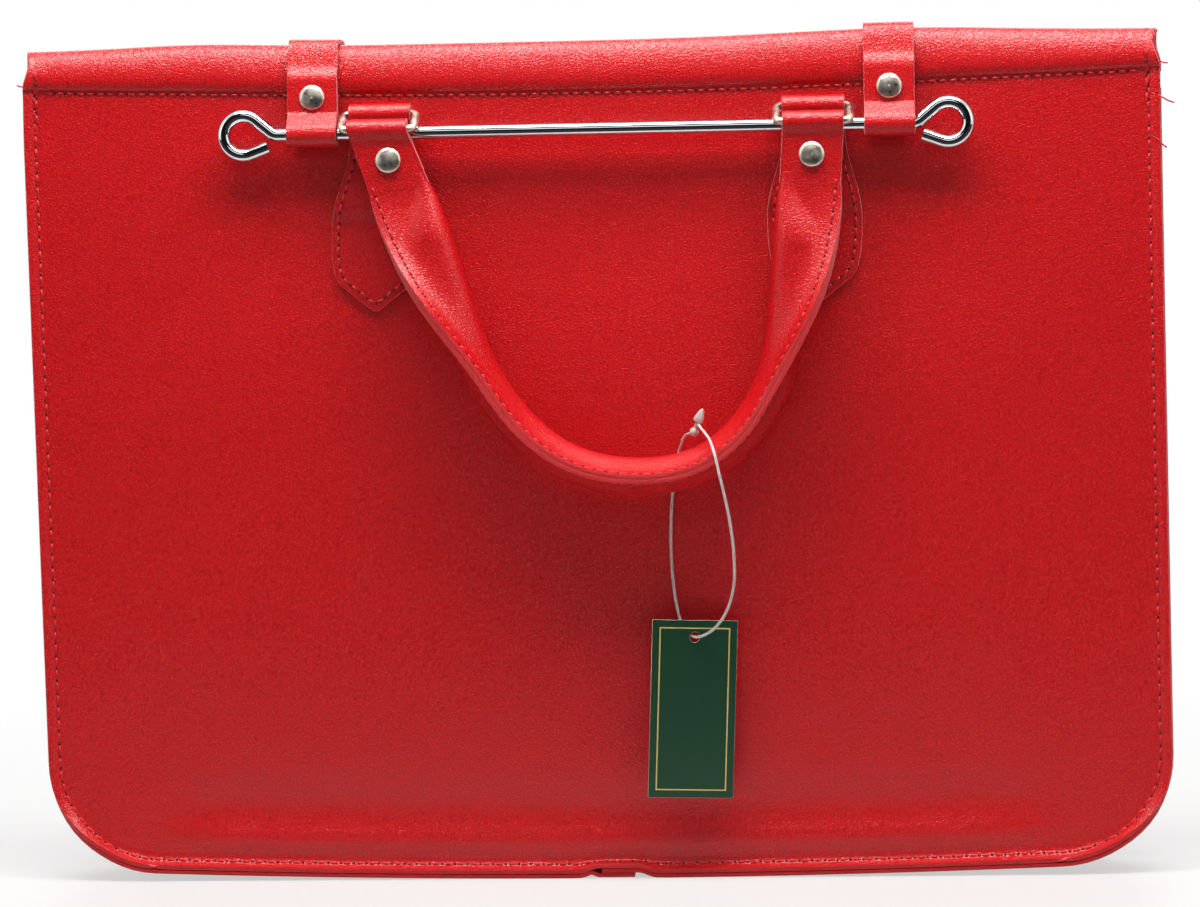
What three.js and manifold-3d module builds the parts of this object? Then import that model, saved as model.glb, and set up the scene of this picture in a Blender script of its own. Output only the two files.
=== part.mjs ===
// A soft music case with a chromed closing rod.
//
// Two panels of leathercloth are sewn to a gusset that runs down both sides and along the bottom.
// A rod, held in two riveted straps that come over the mouth from the back, lies under two rings
// and behind the handle that hangs on them. Millimetres, +Z up, front towards -Y.

import * as THREE from 'three';
import { mergeVertices } from 'three/addons/utils/BufferGeometryUtils.js';
import Module from 'manifold-3d';

const manifold = await Module();
manifold.setup();

// Case
const caseWidth = 381;
const caseHeight = 282;
const baseDepth = 32;
const mouthDepth = 17;
const cornerRadius = 37;
const backDrop = 3;
const seamAllowance = 7;
const panelBulge = 2.4;
const bulgeMargin = 85;
const flatBelowHem = 27;

// Sheet goods
const sheet = 1.6;
const gussetSheet = 1.4;
const layerGap = 0.3;
const loopPlay = 0.5;

// Rolled hem along the mouth. The last four shape its curve, as shares of its padding and drop.
const hemDropAtEnds = 13;
const hemDropAtMiddle = 17;
const hemPuff = 2.4;
const hemTail = 2;
const hemLowPull = 0.6;
const hemHighPull = 0.7;
const hemLowPullAt = 0.85;
const hemTailPullAt = 0.7;

// Gusset
const gussetTopDrop = 20;
const gussetBend = 1.6;
const lapCentre = 5;
const lapLength = 11;
const lapMargin = 1;
const lapRamp = 6;

// Rod
const rodDiameter = 4.4;
const rodDrop = 30;
const rodCentre = 1.2;
const eyeSpan = 235.8;
const eyeRadius = 6.6;
const eyeBend = 4;
const eyeNeckSlope = 40;
const eyeTail = 6.8;
const eyeTailAngle = 290;

// Straps that hold the rod
const strapWidth = 16.5;
const strapSpan = 193;
const strapCentre = 3.2;
const strapRivetDrop = 17.7;
const strapFlat = 5.2;
const strapBackLength = 62;
const strapPoint = 9;
const strapTip = 1.4;
const strapStandOff = 0.7;
const strapBackCurve = 9;
const strapFrontCurve = 8;
const strapCrown = 1;
const strapLead = 3;
const strapTailLead = 1;

// Rings and the chapes that hold them. Each ring stands beside its strap.
const strapToLeftRing = 0.7;
const strapToRightRing = 3.5;
const ringInside = 21.5;
const ringWire = 2.8;
const ringLength = 11;
const ringCorner = 2.4;
const ringSplit = 0.4;
const ringBarDrop = 23.5;
const chapeNeck = 20.5;
const chapeBelly = 31.4;
const chapeLength = 66;
const chapeTailLength = 28;
const chapeTailGap = 2;
const chapeTailRamp = 8;
const chapeTip = 1.6;
const chapePointShare = 0.7;
const chapePointRise = 8;
const chapePointTurn = 2;
const chapeBellyRise = 28;
const chapeNeckRise = 58;
const chapeEase = 12;
const chapeTurnAboveRod = 2.3;
const chapeLeftSlant = 3;

// Handle
const handleWidth = 22;
const tongueWidth = 20;
const tongueTail = 15.5;
const tongueLap = 4;
const tongueEase = 3;
const seamFlat = 3;
const handleDrop = 117;
const handleLow = 16;
const handleLeftSlant = 20;
const handleLeftReach = 85;
const handleRightReach = 70;
const handleRightSlant = 3;
const handleSweep = 45;
const coreDiameter = 8.4;
const coreTaper = 24;
const coverStart = 17;
const handleStandOff = 1.2;
const handleTwistStart = 16;
const handleTwistEnd = 96;
const handleRivetDrop = 11;

// Rivets
const rivetHead = 8.6;
const rivetDome = 1.7;
const rivetLip = 0.35;
const rivetPost = 3;
const rivetBack = 7.6;
const rivetBackThickness = 1;
const rivetBackEdge = 0.5;
const rivetSocket = 0.6;

// Swing tag and its nylon loop
const tagWidth = 28.5;
const tagHeight = 59.5;
const tagCard = 0.6;
const tagHole = 3.7;
const tagHoleDrop = 5.6;
const tagTurn = 9;
const tagTilt = 2.5;
const loopDiameter = 1;
const lockLength = 10;
const lockWidth = 3.6;
const lockBall = 3.2;
const lockNeck = 1.4;
const lockNeckStart = 1.9;
const lockNeckEnd = 3.4;
const lockShoulder = 4;
const lockWaist = 6;
const lockWaistWidth = 2.9;
const lockPoint = 1;

// Facets
const panelColumns = 16;
const hemSteps = 6;
const cornerSteps = 6;
const faceSteps = 7;
const sideSteps = 7;
const strapSteps = 6;
const strapColumns = 2;
const pointSteps = 4;
const chapeSteps = 6;
const chapeColumns = 4;
const eyeBendSteps = 3;
const eyeSteps = 14;
const ringSteps = 2;
const tongueSteps = 5;
const coverSteps = 26;
const coverBlendSteps = 3;
const coverTurnSteps = 4;
const coreSteps = 20;
const loopSteps = 50;
const domeSteps = 3;
const holeSteps = 8;
const rodSides = 12;
const wireSides = 8;
const loopSides = 6;
const lockSides = 10;
const latheSides = 14;

const degrees = Math.PI / 180;
const halfWidth = caseWidth / 2;
const halfMouth = mouthDepth / 2;
const rodRadius = rodDiameter / 2;
const wireRadius = ringWire / 2;
const rodHeight = caseHeight - rodDrop;

// Materials
const finish = (color, roughness, metalness) =>
  new THREE.MeshStandardMaterial({ color, roughness, metalness });
const leathercloth = () => finish('#b3121a', 0.5, 0);
const chrome = () => finish('#d8dadc', 0.12, 1);
const nickel = () => finish('#c9c4b4', 0.22, 1);
const card = () => finish('#0f4a2d', 0.55, 0);
const nylon = () => finish('#e8e6e2', 0.3, 0);
const rope = () => finish('#c9bfa5', 0.9, 0);

const smoothstep = (value, low, high) => {
  const t = Math.min(Math.max((value - low) / (high - low), 0), 1);
  return t * t * (3 - 2 * t);
};

// The panels lean together from the base to the mouth: how far a panel stands out at a height.
const spread = (z) => ((baseDepth - mouthDepth) / 2) * Math.max(0, 1 - z / caseHeight);

// Sheet goods are drawn upright and then leaned with their panel. Heights don't change, so the
// edges that the case stands on stay level.
function lean(geometry) {
  const position = geometry.attributes.position;
  for (let i = 0; i < position.count; i += 1) {
    const y = position.getY(i);
    position.setY(i, y + Math.sign(y) * spread(position.getZ(i)));
  }
  return geometry;
}

function signedVolume(geometry) {
  const position = geometry.attributes.position;
  const index = geometry.index;
  const [a, b, c] = [new THREE.Vector3(), new THREE.Vector3(), new THREE.Vector3()];
  let volume = 0;
  for (let i = 0; i < index.count; i += 3) {
    a.fromBufferAttribute(position, index.getX(i));
    b.fromBufferAttribute(position, index.getX(i + 1));
    c.fromBufferAttribute(position, index.getX(i + 2));
    volume += a.dot(b.cross(c)) / 6;
  }
  return volume;
}

// Keeps only positions, joins shared corners and turns the faces outwards.
function solid(geometry) {
  const bare = new THREE.BufferGeometry();
  bare.setAttribute('position', geometry.attributes.position);
  bare.setIndex(geometry.index);
  const merged = mergeVertices(bare, 1e-4);
  if (signedVolume(merged) < 0) {
    merged.setIndex([...merged.index.array].reverse());
  }
  return merged;
}

// A sheet of constant thickness about a grid of points, rows[j][i].
function thickSheet(rows, thickness) {
  const lastRow = rows.length - 1;
  const lastColumn = rows[0].length - 1;
  const columns = lastColumn + 1;
  const faces = [[], []];
  rows.forEach((row, j) => row.forEach((point, i) => {
    const across = rows[j][Math.min(i + 1, lastColumn)].clone().sub(rows[j][Math.max(i - 1, 0)]);
    const along = rows[Math.min(j + 1, lastRow)][i].clone().sub(rows[Math.max(j - 1, 0)][i]);
    const normal = across.cross(along).setLength(thickness / 2);
    faces[0].push(point.clone().add(normal));
    faces[1].push(point.clone().sub(normal));
  }));
  const under = faces[0].length;
  const index = [];
  const quad = (a, b, c, d) => index.push(a, b, c, a, c, d);
  for (let j = 0; j < lastRow; j += 1) {
    for (let i = 0; i < lastColumn; i += 1) {
      const a = j * columns + i;
      quad(a, a + 1, a + 1 + columns, a + columns);
      quad(under + a, under + a + columns, under + a + 1 + columns, under + a + 1);
    }
  }
  const rim = (a, b) => quad(b, a, under + a, under + b);
  for (let i = 0; i < lastColumn; i += 1) {
    rim(i, i + 1);
    rim(lastRow * columns + i + 1, lastRow * columns + i);
  }
  for (let j = 0; j < lastRow; j += 1) {
    rim((j + 1) * columns, j * columns);
    rim(j * columns + lastColumn, (j + 1) * columns + lastColumn);
  }
  const geometry = new THREE.BufferGeometry().setFromPoints([...faces[0], ...faces[1]]);
  geometry.setIndex(index);
  return solid(geometry);
}

// A closed form through rings of points, with a flat end on each of its two last rings.
function loft(rings) {
  const sides = rings[0].length;
  const index = [];
  for (let j = 0; j < rings.length - 1; j += 1) {
    for (let i = 0; i < sides; i += 1) {
      const next = (i + 1) % sides;
      const [a, b] = [j * sides + i, j * sides + next];
      index.push(a, b, b + sides, a, b + sides, a + sides);
    }
  }
  const last = (rings.length - 1) * sides;
  for (let i = 1; i < sides - 1; i += 1) {
    index.push(0, i + 1, i, last, last + i, last + i + 1);
  }
  const geometry = new THREE.BufferGeometry().setFromPoints(rings.flat());
  geometry.setIndex(index);
  return solid(geometry);
}

// A curve that an extrusion follows from one given station to the next.
class Stations extends THREE.Curve {
  constructor(points) {
    super();
    this.points = points;
  }

  at(u) {
    return Math.round(u * (this.points.length - 1));
  }

  getPointAt(u, target = new THREE.Vector3()) {
    return target.copy(this.points[this.at(u)]);
  }

  getTangentAt(u, target = new THREE.Vector3()) {
    const i = this.at(u);
    const before = this.points[Math.max(i - 1, 0)];
    const after = this.points[Math.min(i + 1, this.points.length - 1)];
    return target.subVectors(after, before).normalize();
  }
}

function wire(points, radius, sides) {
  const section = new THREE.Shape();
  section.absarc(0, 0, radius, 0, Math.PI * 2, false);
  const outline = new THREE.Shape(section.getSpacedPoints(sides).slice(0, sides));
  return solid(new THREE.ExtrudeGeometry(outline, {
    steps: points.length - 1,
    extrudePath: new Stations(points),
    bevelEnabled: false,
  }));
}

function toManifold(geometry) {
  const merged = solid(geometry);
  return new manifold.Manifold(new manifold.Mesh({
    numProp: 3,
    vertProperties: new Float32Array(merged.attributes.position.array),
    triVerts: new Uint32Array(merged.index.array),
  }));
}

function fromManifold(body) {
  const mesh = body.getMesh();
  const geometry = new THREE.BufferGeometry();
  geometry.setAttribute('position', new THREE.BufferAttribute(mesh.vertProperties, 3));
  geometry.setIndex(new THREE.BufferAttribute(mesh.triVerts, 1));
  return geometry;
}

// A round hole through a sheet, along Y.
function drill(body, x, y, z, diameter) {
  const cutter = new THREE.CylinderGeometry(diameter / 2, diameter / 2, baseDepth, latheSides);
  cutter.translate(x, y, z);
  return body.subtract(toManifold(cutter));
}

const parts = new THREE.Group();

function add(name, geometry, material) {
  const mesh = new THREE.Mesh(geometry, material);
  mesh.name = name;
  parts.add(mesh);
  return mesh;
}

// Panels

const hemDrop = (x) => hemDropAtMiddle - (hemDropAtMiddle - hemDropAtEnds) * (x / halfWidth) ** 2;

function bulge(x, z) {
  const fromSides = smoothstep(halfWidth - Math.abs(x), seamAllowance, bulgeMargin);
  const fromBase = smoothstep(z, seamAllowance, bulgeMargin);
  const belowHem = caseHeight - hemDropAtMiddle - flatBelowHem - z;
  const fromHem = smoothstep(belowHem, 0, bulgeMargin);
  return panelBulge * fromSides * fromBase * fromHem;
}

// The hem's line, as how far it stands out of the panel's face and what share of the hem's drop
// it lies below the fold: out over the padding, round the fold and down behind the panel.
function hemLine(drop) {
  const face = -sheet / 2;
  const behind = face - sheet - layerGap;
  const puff = hemPuff + sheet;
  const outer = new THREE.CubicBezierCurve(
    new THREE.Vector2(face, 1),
    new THREE.Vector2(puff * hemLowPull, hemLowPullAt),
    new THREE.Vector2(puff * hemHighPull, 0),
    new THREE.Vector2(face, 0),
  );
  const inner = new THREE.CubicBezierCurve(
    new THREE.Vector2(face, 0),
    new THREE.Vector2(behind - sheet / 2, 0),
    new THREE.Vector2(behind, hemTailPullAt),
    new THREE.Vector2(behind, 1 + hemTail / drop),
  );
  return [...outer.getPoints(hemSteps), ...inner.getPoints(hemSteps).slice(1)];
}

// One sheet from the base to the mouth and round its hem. side is -1 in front and 1 behind.
function panel(side, height) {
  const levels = [];
  for (let k = 0; k < cornerSteps; k += 1) {
    const turn = (k / cornerSteps) * Math.PI / 2;
    levels.push({
      half: halfWidth - cornerRadius + cornerRadius * Math.sin(turn),
      z: () => cornerRadius * (1 - Math.cos(turn)),
      out: -sheet / 2,
    });
  }
  for (let k = 0; k < faceSteps; k += 1) {
    const share = k / faceSteps;
    levels.push({
      half: halfWidth,
      z: (x) => cornerRadius + share * (height - hemDrop(x) - cornerRadius),
      out: -sheet / 2,
    });
  }
  hemLine(hemDropAtMiddle).forEach((point) => levels.push({
    half: halfWidth,
    z: (x) => height - sheet / 2 - point.y * (hemDrop(x) - sheet / 2),
    out: point.x,
  }));
  const rows = levels.map((level) => {
    const row = [];
    for (let i = 0; i <= panelColumns; i += 1) {
      const x = level.half * (2 * i / panelColumns - 1);
      const z = level.z(x);
      const out = halfMouth + level.out + bulge(x, z);
      row.push(new THREE.Vector3(x, side * out, z));
    }
    return row;
  });
  return lean(thickSheet(rows, sheet));
}

add('front_panel', panel(-1, caseHeight), leathercloth());
add('back_panel', panel(1, caseHeight - backDrop), leathercloth());

// Gussets

// One half of the gusset, from the mouth down its side and along the base. Its two edges lie
// flat on the panels' seam allowances, and it is a channel between them. At the lap one half
// lies over the other: its web rises, and the edges of the half below draw in.
function gusset(side, over) {
  const path = [];
  const top = caseHeight - gussetTopDrop;
  const out = new THREE.Vector2(side, 0);
  for (let k = 0; k < sideSteps; k += 1) {
    const z = top - (k / sideSteps) * (top - cornerRadius);
    path.push({ x: side * halfWidth, z, out });
  }
  for (let k = 0; k <= cornerSteps; k += 1) {
    const turn = (k / cornerSteps) * Math.PI / 2;
    const direction = new THREE.Vector2(side * Math.cos(turn), -Math.sin(turn));
    path.push({
      x: side * (halfWidth - cornerRadius) + cornerRadius * direction.x,
      z: cornerRadius + cornerRadius * direction.y,
      out: direction,
    });
  }
  const down = new THREE.Vector2(0, -1);
  const lapEnd = -lapLength / 2;
  const rampTop = lapLength / 2 + lapMargin;
  [rampTop + lapRamp, rampTop, lapEnd].forEach((fromLap) => path.push({
    x: lapCentre + side * fromLap, z: 0, out: down,
  }));
  const rows = path.map(({ x, z, out: outward }) => {
    const fromLap = side * (x - lapCentre);
    const onLap = z > 0 ? 0 : smoothstep(rampTop + lapRamp / 2 - fromLap, 0, lapRamp / 2);
    const step = onLap * (gussetSheet + layerGap);
    const edge = halfMouth - sheet - layerGap - gussetSheet / 2 - (over ? 0 : step);
    const web = seamAllowance + gussetSheet / 2 + (over ? step : 0);
    const bend = (middle, from, to) => [0, 0.5, 1].map((share) => {
      const turn = from + share * (to - from);
      return [middle + gussetBend * Math.cos(turn), web - gussetBend + gussetBend * Math.sin(turn)];
    });
    const section = [
      [-edge, 0],
      ...bend(gussetBend - edge, Math.PI, Math.PI / 2),
      ...bend(edge - gussetBend, Math.PI / 2, 0),
      [edge, 0],
    ];
    return section.map(([y, inward]) =>
      new THREE.Vector3(x - outward.x * inward, y, z - outward.y * inward));
  });
  return lean(thickSheet(rows, gussetSheet));
}

add('gusset_left', gusset(-1, false), leathercloth());
add('gusset_right', gusset(1, true), leathercloth());

// Rod

const firstLayer = layerGap + sheet / 2;
const layerPitch = sheet + layerGap;
const strapTailOut = firstLayer + layerPitch + strapStandOff;
const strapFrontOut = strapTailOut + layerPitch;
const rodOut = strapTailOut + sheet / 2 + loopPlay + rodRadius;
const rodY = -(halfMouth + spread(rodHeight) + rodOut);
const strapX = (side) => strapCentre + side * strapSpan / 2;

function ringX(side) {
  const gap = side < 0 ? strapToLeftRing : strapToRightRing;
  return strapX(side) - side * (strapWidth / 2 + gap + ringInside / 2 + ringWire);
}

// One end of the rod: it bends up into a straight neck, turns round the eye and comes back
// under itself as a straight tail, which stops short of the neck.
function eyePoints(side) {
  const slope = eyeNeckSlope * degrees;
  const bendStart = eyeRadius / Math.sin(slope) + eyeBend * Math.tan(slope / 2);
  const meet = Math.PI / 2 - slope;
  const end = eyeTailAngle * degrees;
  const points = [];
  for (let k = 0; k <= eyeBendSteps; k += 1) {
    const turn = (k / eyeBendSteps) * slope;
    points.push([bendStart - eyeBend * Math.sin(turn), eyeBend * (1 - Math.cos(turn))]);
  }
  for (let k = 0; k <= eyeSteps; k += 1) {
    const turn = meet + (k / eyeSteps) * (end - meet);
    points.push([eyeRadius * Math.cos(turn), eyeRadius * Math.sin(turn)]);
  }
  const [lastX, lastZ] = points[points.length - 1];
  points.push([lastX - eyeTail * Math.sin(end), lastZ + eyeTail * Math.cos(end)]);
  const eyeX = rodCentre + side * eyeSpan / 2;
  return points.map(([x, z]) => new THREE.Vector3(eyeX - side * x, rodY, rodHeight + z));
}

add('rod', wire([...eyePoints(-1).reverse(), ...eyePoints(1)], rodRadius, rodSides), chrome());

// Strips

// A strip across X about a line of rows, each with its half width, its middle and its place.
// Where it lies on a panel it follows the panel's bulge.
function strip(rows, columns) {
  return rows.map(({ half, middle, y, z }) => {
    const row = [];
    for (let i = 0; i <= columns; i += 1) {
      const x = middle + half * (2 * i / columns - 1);
      row.push(new THREE.Vector3(x, y + Math.sign(y) * bulge(x, z), z));
    }
    return row;
  });
}

// Rivets

// The dome's outline from its top to its rim, above a low rounded lip.
function domeProfile() {
  const points = [];
  for (let k = 0; k <= domeSteps; k += 1) {
    const turn = (k / domeSteps) * Math.PI / 2;
    const height = rivetLip + (rivetDome - rivetLip) * Math.cos(turn);
    points.push(new THREE.Vector2((rivetHead / 2) * Math.sin(turn), height));
  }
  return points;
}

// A domed cap with its post, pointing along -Y. grip is the thickness that it holds.
function rivetCap(grip) {
  const post = grip + layerGap + rivetBackThickness / 2;
  const profile = [
    ...domeProfile(),
    new THREE.Vector2(rivetHead / 2 - rivetLip, 0),
    new THREE.Vector2(rivetPost / 2, 0),
    new THREE.Vector2(rivetPost / 2, -post),
    new THREE.Vector2(0, -post),
  ];
  return solid(new THREE.LatheGeometry(profile, latheSides));
}

// The back cap, with a blind socket for the end of the post.
function rivetBackCap() {
  const socket = rivetPost / 2 + layerGap;
  const profile = [
    new THREE.Vector2(0, -rivetBackThickness),
    new THREE.Vector2(rivetBack / 2 - rivetBackEdge, -rivetBackThickness),
    new THREE.Vector2(rivetBack / 2, -rivetBackThickness / 2),
    new THREE.Vector2(rivetBack / 2, 0),
    new THREE.Vector2(socket, 0),
    new THREE.Vector2(socket, -rivetSocket),
    new THREE.Vector2(0, -rivetSocket),
  ];
  return solid(new THREE.LatheGeometry(profile, latheSides));
}

// Sets a rivet at a place on the front face of what it holds.
function rivet(name, x, y, z, grip) {
  const cap = add(`${name}_cap`, rivetCap(grip), nickel());
  cap.position.set(x, y - layerGap, z);
  cap.rotation.x = Math.PI;
  const back = add(`${name}_back`, rivetBackCap(), nickel());
  back.position.set(x, y + grip + layerGap, z);
  back.rotation.x = Math.PI;
}

// Straps

const strapRivetHeight = caseHeight - strapRivetDrop;
const strapTop = caseHeight + layerGap + sheet / 2;

// The strap's line in Y and Z, from its tip on the back panel over the mouth, down the front,
// round the rod and back up behind itself to the rivet.
function strapLine() {
  const rodLoop = rodRadius + loopPlay + sheet / 2;
  const hemOut = hemPuff + layerGap + sheet;
  const corner = mouthDepth / 3;
  const flatLow = strapRivetHeight - strapFlat;
  const flatHigh = strapRivetHeight + strapFlat;
  const rodAt = rodOut + spread(rodHeight) - spread(flatLow);
  const dOut = rodAt - strapFrontOut;
  const dDown = flatLow - rodHeight;
  const reach = Math.hypot(dOut, dDown);
  const tangent = Math.atan2(dOut, dDown) + Math.asin(rodLoop / reach);
  const line = new THREE.Path();
  const back = (out, z) => [halfMouth + out, z];
  const front = (out, z) => [-(halfMouth + out), z];
  const shoulder = caseHeight - backDrop - hemDropAtMiddle;
  line.moveTo(...back(firstLayer, strapTop - strapBackLength));
  line.lineTo(...back(firstLayer, shoulder - strapBackCurve));
  line.bezierCurveTo(
    ...back(firstLayer, shoulder - strapBackCurve / 2),
    ...back(hemOut, shoulder - strapBackCurve / 3),
    ...back(hemOut, shoulder + strapBackCurve * 2 / 3),
  );
  line.bezierCurveTo(
    ...back(hemOut, strapTop),
    ...back(hemOut - strapCrown, strapTop),
    corner,
    strapTop,
  );
  line.lineTo(-corner, strapTop);
  line.bezierCurveTo(
    ...front(hemOut - strapCrown, strapTop),
    ...front(hemOut, strapTop),
    ...front(hemOut, strapTop - strapFrontCurve),
  );
  line.bezierCurveTo(
    ...front(hemOut, flatHigh + strapLead * 2 / 3),
    ...front(strapFrontOut, flatHigh + strapLead),
    ...front(strapFrontOut, flatHigh),
  );
  line.lineTo(...front(strapFrontOut, flatLow));
  line.absarc(...front(rodAt, rodHeight), rodLoop, Math.PI - tangent, Math.PI * 2, false);
  line.lineTo(...front(strapTailOut, flatLow + strapTailLead));
  line.lineTo(...front(strapTailOut, flatHigh));
  return line.getPoints(strapSteps);
}

// The strap behind ends in a rounded point.
function strap(side) {
  const line = strapLine();
  const tip = line[0].y - strapPoint;
  const point = [];
  for (let k = 0; k < pointSteps; k += 1) {
    point.push(new THREE.Vector2(line[0].x, tip + strapPoint * (k / pointSteps) ** 2));
  }
  const rows = [...point, ...line].map(({ x: y, y: z }) => {
    const fromTip = Math.min(Math.max((z - tip) / strapPoint, 0), 1);
    const half = Math.max(strapTip / 2, (strapWidth / 2) * Math.sqrt(fromTip));
    return { half, middle: strapX(side), y, z };
  });
  const body = toManifold(lean(thickSheet(strip(rows, strapColumns), sheet)));
  const hole = rivetPost + 2 * layerGap;
  const y = -(halfMouth + strapFrontOut + baseDepth / 2 - layerPitch - sheet);
  return fromManifold(drill(body, strapX(side), y, strapRivetHeight, hole));
}

const strapGrip = 2 * sheet + layerGap;
const strapFaceY = -(halfMouth + spread(strapRivetHeight) + strapFrontOut + sheet / 2);
[['left', -1], ['right', 1]].forEach(([name, side]) => {
  add(`strap_${name}`, strap(side), leathercloth());
  rivet(`strap_rivet_${name}`, strapX(side), strapFaceY, strapRivetHeight, strapGrip);
});

// Rings

const barHeight = caseHeight - ringBarDrop;
const barLoop = wireRadius + loopPlay + sheet / 2;
const barOut = firstLayer + barLoop;
const barY = -(halfMouth + spread(barHeight) + barOut);

// The ring drops forward until its sides lie on the rod.
const toRod = new THREE.Vector2(barY - rodY, barHeight - rodHeight);
const ringDroop = Math.atan2(toRod.y, toRod.x)
  - Math.asin((rodRadius + wireRadius + layerGap) / toRod.length());
const hingeY = barY - ringLength * Math.cos(ringDroop);
const hingeHeight = barHeight - ringLength * Math.sin(ringDroop);

// Bent wire with a butt joint in the middle of the bar that the chape holds.
function ring() {
  const half = (ringInside + ringWire) / 2;
  const line = new THREE.Path();
  line.moveTo(ringSplit / 2, 0);
  line.lineTo(half - ringCorner, 0);
  line.absarc(half - ringCorner, ringCorner, ringCorner, -Math.PI / 2, 0, false);
  line.lineTo(half, ringLength - ringCorner);
  line.absarc(half - ringCorner, ringLength - ringCorner, ringCorner, 0, Math.PI / 2, false);
  line.lineTo(ringCorner - half, ringLength);
  line.absarc(ringCorner - half, ringLength - ringCorner, ringCorner, Math.PI / 2, Math.PI, false);
  line.lineTo(-half, ringCorner);
  line.absarc(ringCorner - half, ringCorner, ringCorner, Math.PI, Math.PI * 1.5, false);
  line.lineTo(-ringSplit / 2, 0);
  const points = line.getPoints(ringSteps).map(({ x, y }) => new THREE.Vector3(x, -y, 0));
  return wire(points, wireRadius, wireSides);
}

[['left', -1], ['right', 1]].forEach(([name, side]) => {
  const mesh = add(`ring_${name}`, ring(), nickel());
  mesh.position.set(ringX(side), barY, barHeight);
  mesh.rotation.x = ringDroop;
});

// Chapes

// Half of the chape's outline from its point up to the neck, as half widths and heights.
function chapeOutline() {
  const tip = barHeight - chapeLength;
  const belly = chapeBelly / 2;
  const neck = chapeNeck / 2;
  const pointHalf = belly * chapePointShare;
  const outline = new THREE.Path();
  outline.moveTo(chapeTip / 2, tip);
  outline.lineTo(pointHalf, tip + chapePointRise);
  outline.bezierCurveTo(
    (pointHalf + 2 * belly) / 3,
    tip + chapePointRise + chapePointTurn,
    belly,
    tip + chapeBellyRise - chapeEase,
    belly,
    tip + chapeBellyRise,
  );
  outline.bezierCurveTo(
    belly,
    tip + chapeBellyRise + chapeEase,
    neck,
    tip + chapeNeckRise - chapeEase,
    neck,
    tip + chapeNeckRise,
  );
  return outline.getPoints(chapeSteps);
}

function chape(side, slant) {
  const rise = chapeOutline();
  const neckTop = rise[rise.length - 1].y;
  const frontOut = firstLayer + layerPitch;
  const overTail = barHeight - chapeTailLength - chapeTailGap;
  const frontAt = (z) => firstLayer + layerPitch * smoothstep(z, overTail - chapeTailRamp, overTail);
  const rows = rise.map(({ x: half, y: z }) => ({
    half,
    middle: ringX(side) - slant * smoothstep(neckTop - z, 0, chapeLength),
    y: -(halfMouth + frontAt(z)),
    z,
  }));
  const turnHeight = rodHeight + chapeTurnAboveRod;
  const inward = Math.hypot(barOut - frontOut, barHeight - turnHeight);
  const tangent = Math.atan2(barHeight - turnHeight, barOut - frontOut) - Math.asin(barLoop / inward);
  const fold = new THREE.Path();
  fold.moveTo(frontOut, turnHeight);
  fold.absarc(barOut, barHeight, barLoop, tangent - Math.PI / 2, Math.PI, false);
  fold.lineTo(firstLayer, barHeight - chapeTailLength / 2);
  fold.lineTo(firstLayer, barHeight - chapeTailLength);
  fold.getPoints(chapeSteps).forEach(({ x: out, y: z }) => rows.push({
    half: chapeNeck / 2, middle: ringX(side), y: -(halfMouth + out), z,
  }));
  return lean(thickSheet(strip(rows, chapeColumns), sheet));
}

add('chape_left', chape(-1, chapeLeftSlant), leathercloth());
add('chape_right', chape(1, 0), leathercloth());

// Handle

// The middle of the handle's strap, hanging from one ring to the other.
const lowest = hingeHeight - handleDrop;
const leftStart = new THREE.Vector3(ringX(-1), hingeY, hingeHeight);
const rightEnd = new THREE.Vector3(ringX(1), hingeY, hingeHeight);
const bottom = new THREE.Vector3(handleLow, hingeY, lowest);
const slanted = (from, reach, angle) => from.clone().add(new THREE.Vector3(
  reach * Math.sin(angle * degrees),
  0,
  -reach * Math.cos(angle * degrees),
));
const handleLine = new THREE.CurvePath();
handleLine.add(new THREE.CubicBezierCurve3(
  leftStart,
  slanted(leftStart, handleLeftReach, handleLeftSlant),
  bottom.clone().setX(handleLow - handleSweep),
  bottom,
));
handleLine.add(new THREE.CubicBezierCurve3(
  bottom,
  bottom.clone().setX(handleLow + handleSweep),
  slanted(rightEnd, handleRightReach, -handleRightSlant),
  rightEnd,
));
const handleLength = handleLine.getLength();
const coverRadius = (radius) => radius + loopPlay + sheet / 2;

// The frame of the strap at a distance along it: out is from the core to the sewn edge and face
// is the side that shows. The strap faces front at its ends and turns its sewn edge forward at
// the bottom.
function handleFrame(distance) {
  const u = Math.min(Math.max(distance / handleLength, 0), 1);
  const fromEnd = Math.min(distance, handleLength - distance);
  const tangent = handleLine.getTangentAt(u);
  const front = new THREE.Vector3(0, -1, 0);
  const outward = new THREE.Vector3().crossVectors(front, tangent).normalize().negate();
  const side = new THREE.Vector3(distance < handleLength / 2 ? -1 : 1, 0, 0);
  const square = smoothstep(fromEnd, 0, coverStart + coreTaper);
  outward.lerp(side, 1 - square).normalize();
  const twist = smoothstep(fromEnd, handleTwistStart, handleTwistEnd) * Math.PI / 2;
  const out = outward.clone().multiplyScalar(Math.cos(twist)).addScaledVector(front, Math.sin(twist));
  const face = front.clone().multiplyScalar(Math.cos(twist)).addScaledVector(outward, -Math.sin(twist));
  const radius = coreDiameter / 2 * smoothstep(fromEnd, coverStart, coverStart + coreTaper);
  const loop = Math.max(coverRadius(radius), layerPitch / 2);
  const coreAt = loop + sheet / 2 - handleWidth / 2;
  const centre = handleLine.getPointAt(u);
  const coreIn = handleWidth / 2 - coverRadius(coreDiameter / 2) - sheet / 2;
  centre.y -= Math.sin(twist) * (coreIn + handleStandOff);
  return { centre, out, face, radius, loop, coreAt };
}

const inFrame = ({ centre, out, face }, a, b) =>
  centre.clone().addScaledVector(out, a).addScaledVector(face, b);

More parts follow.
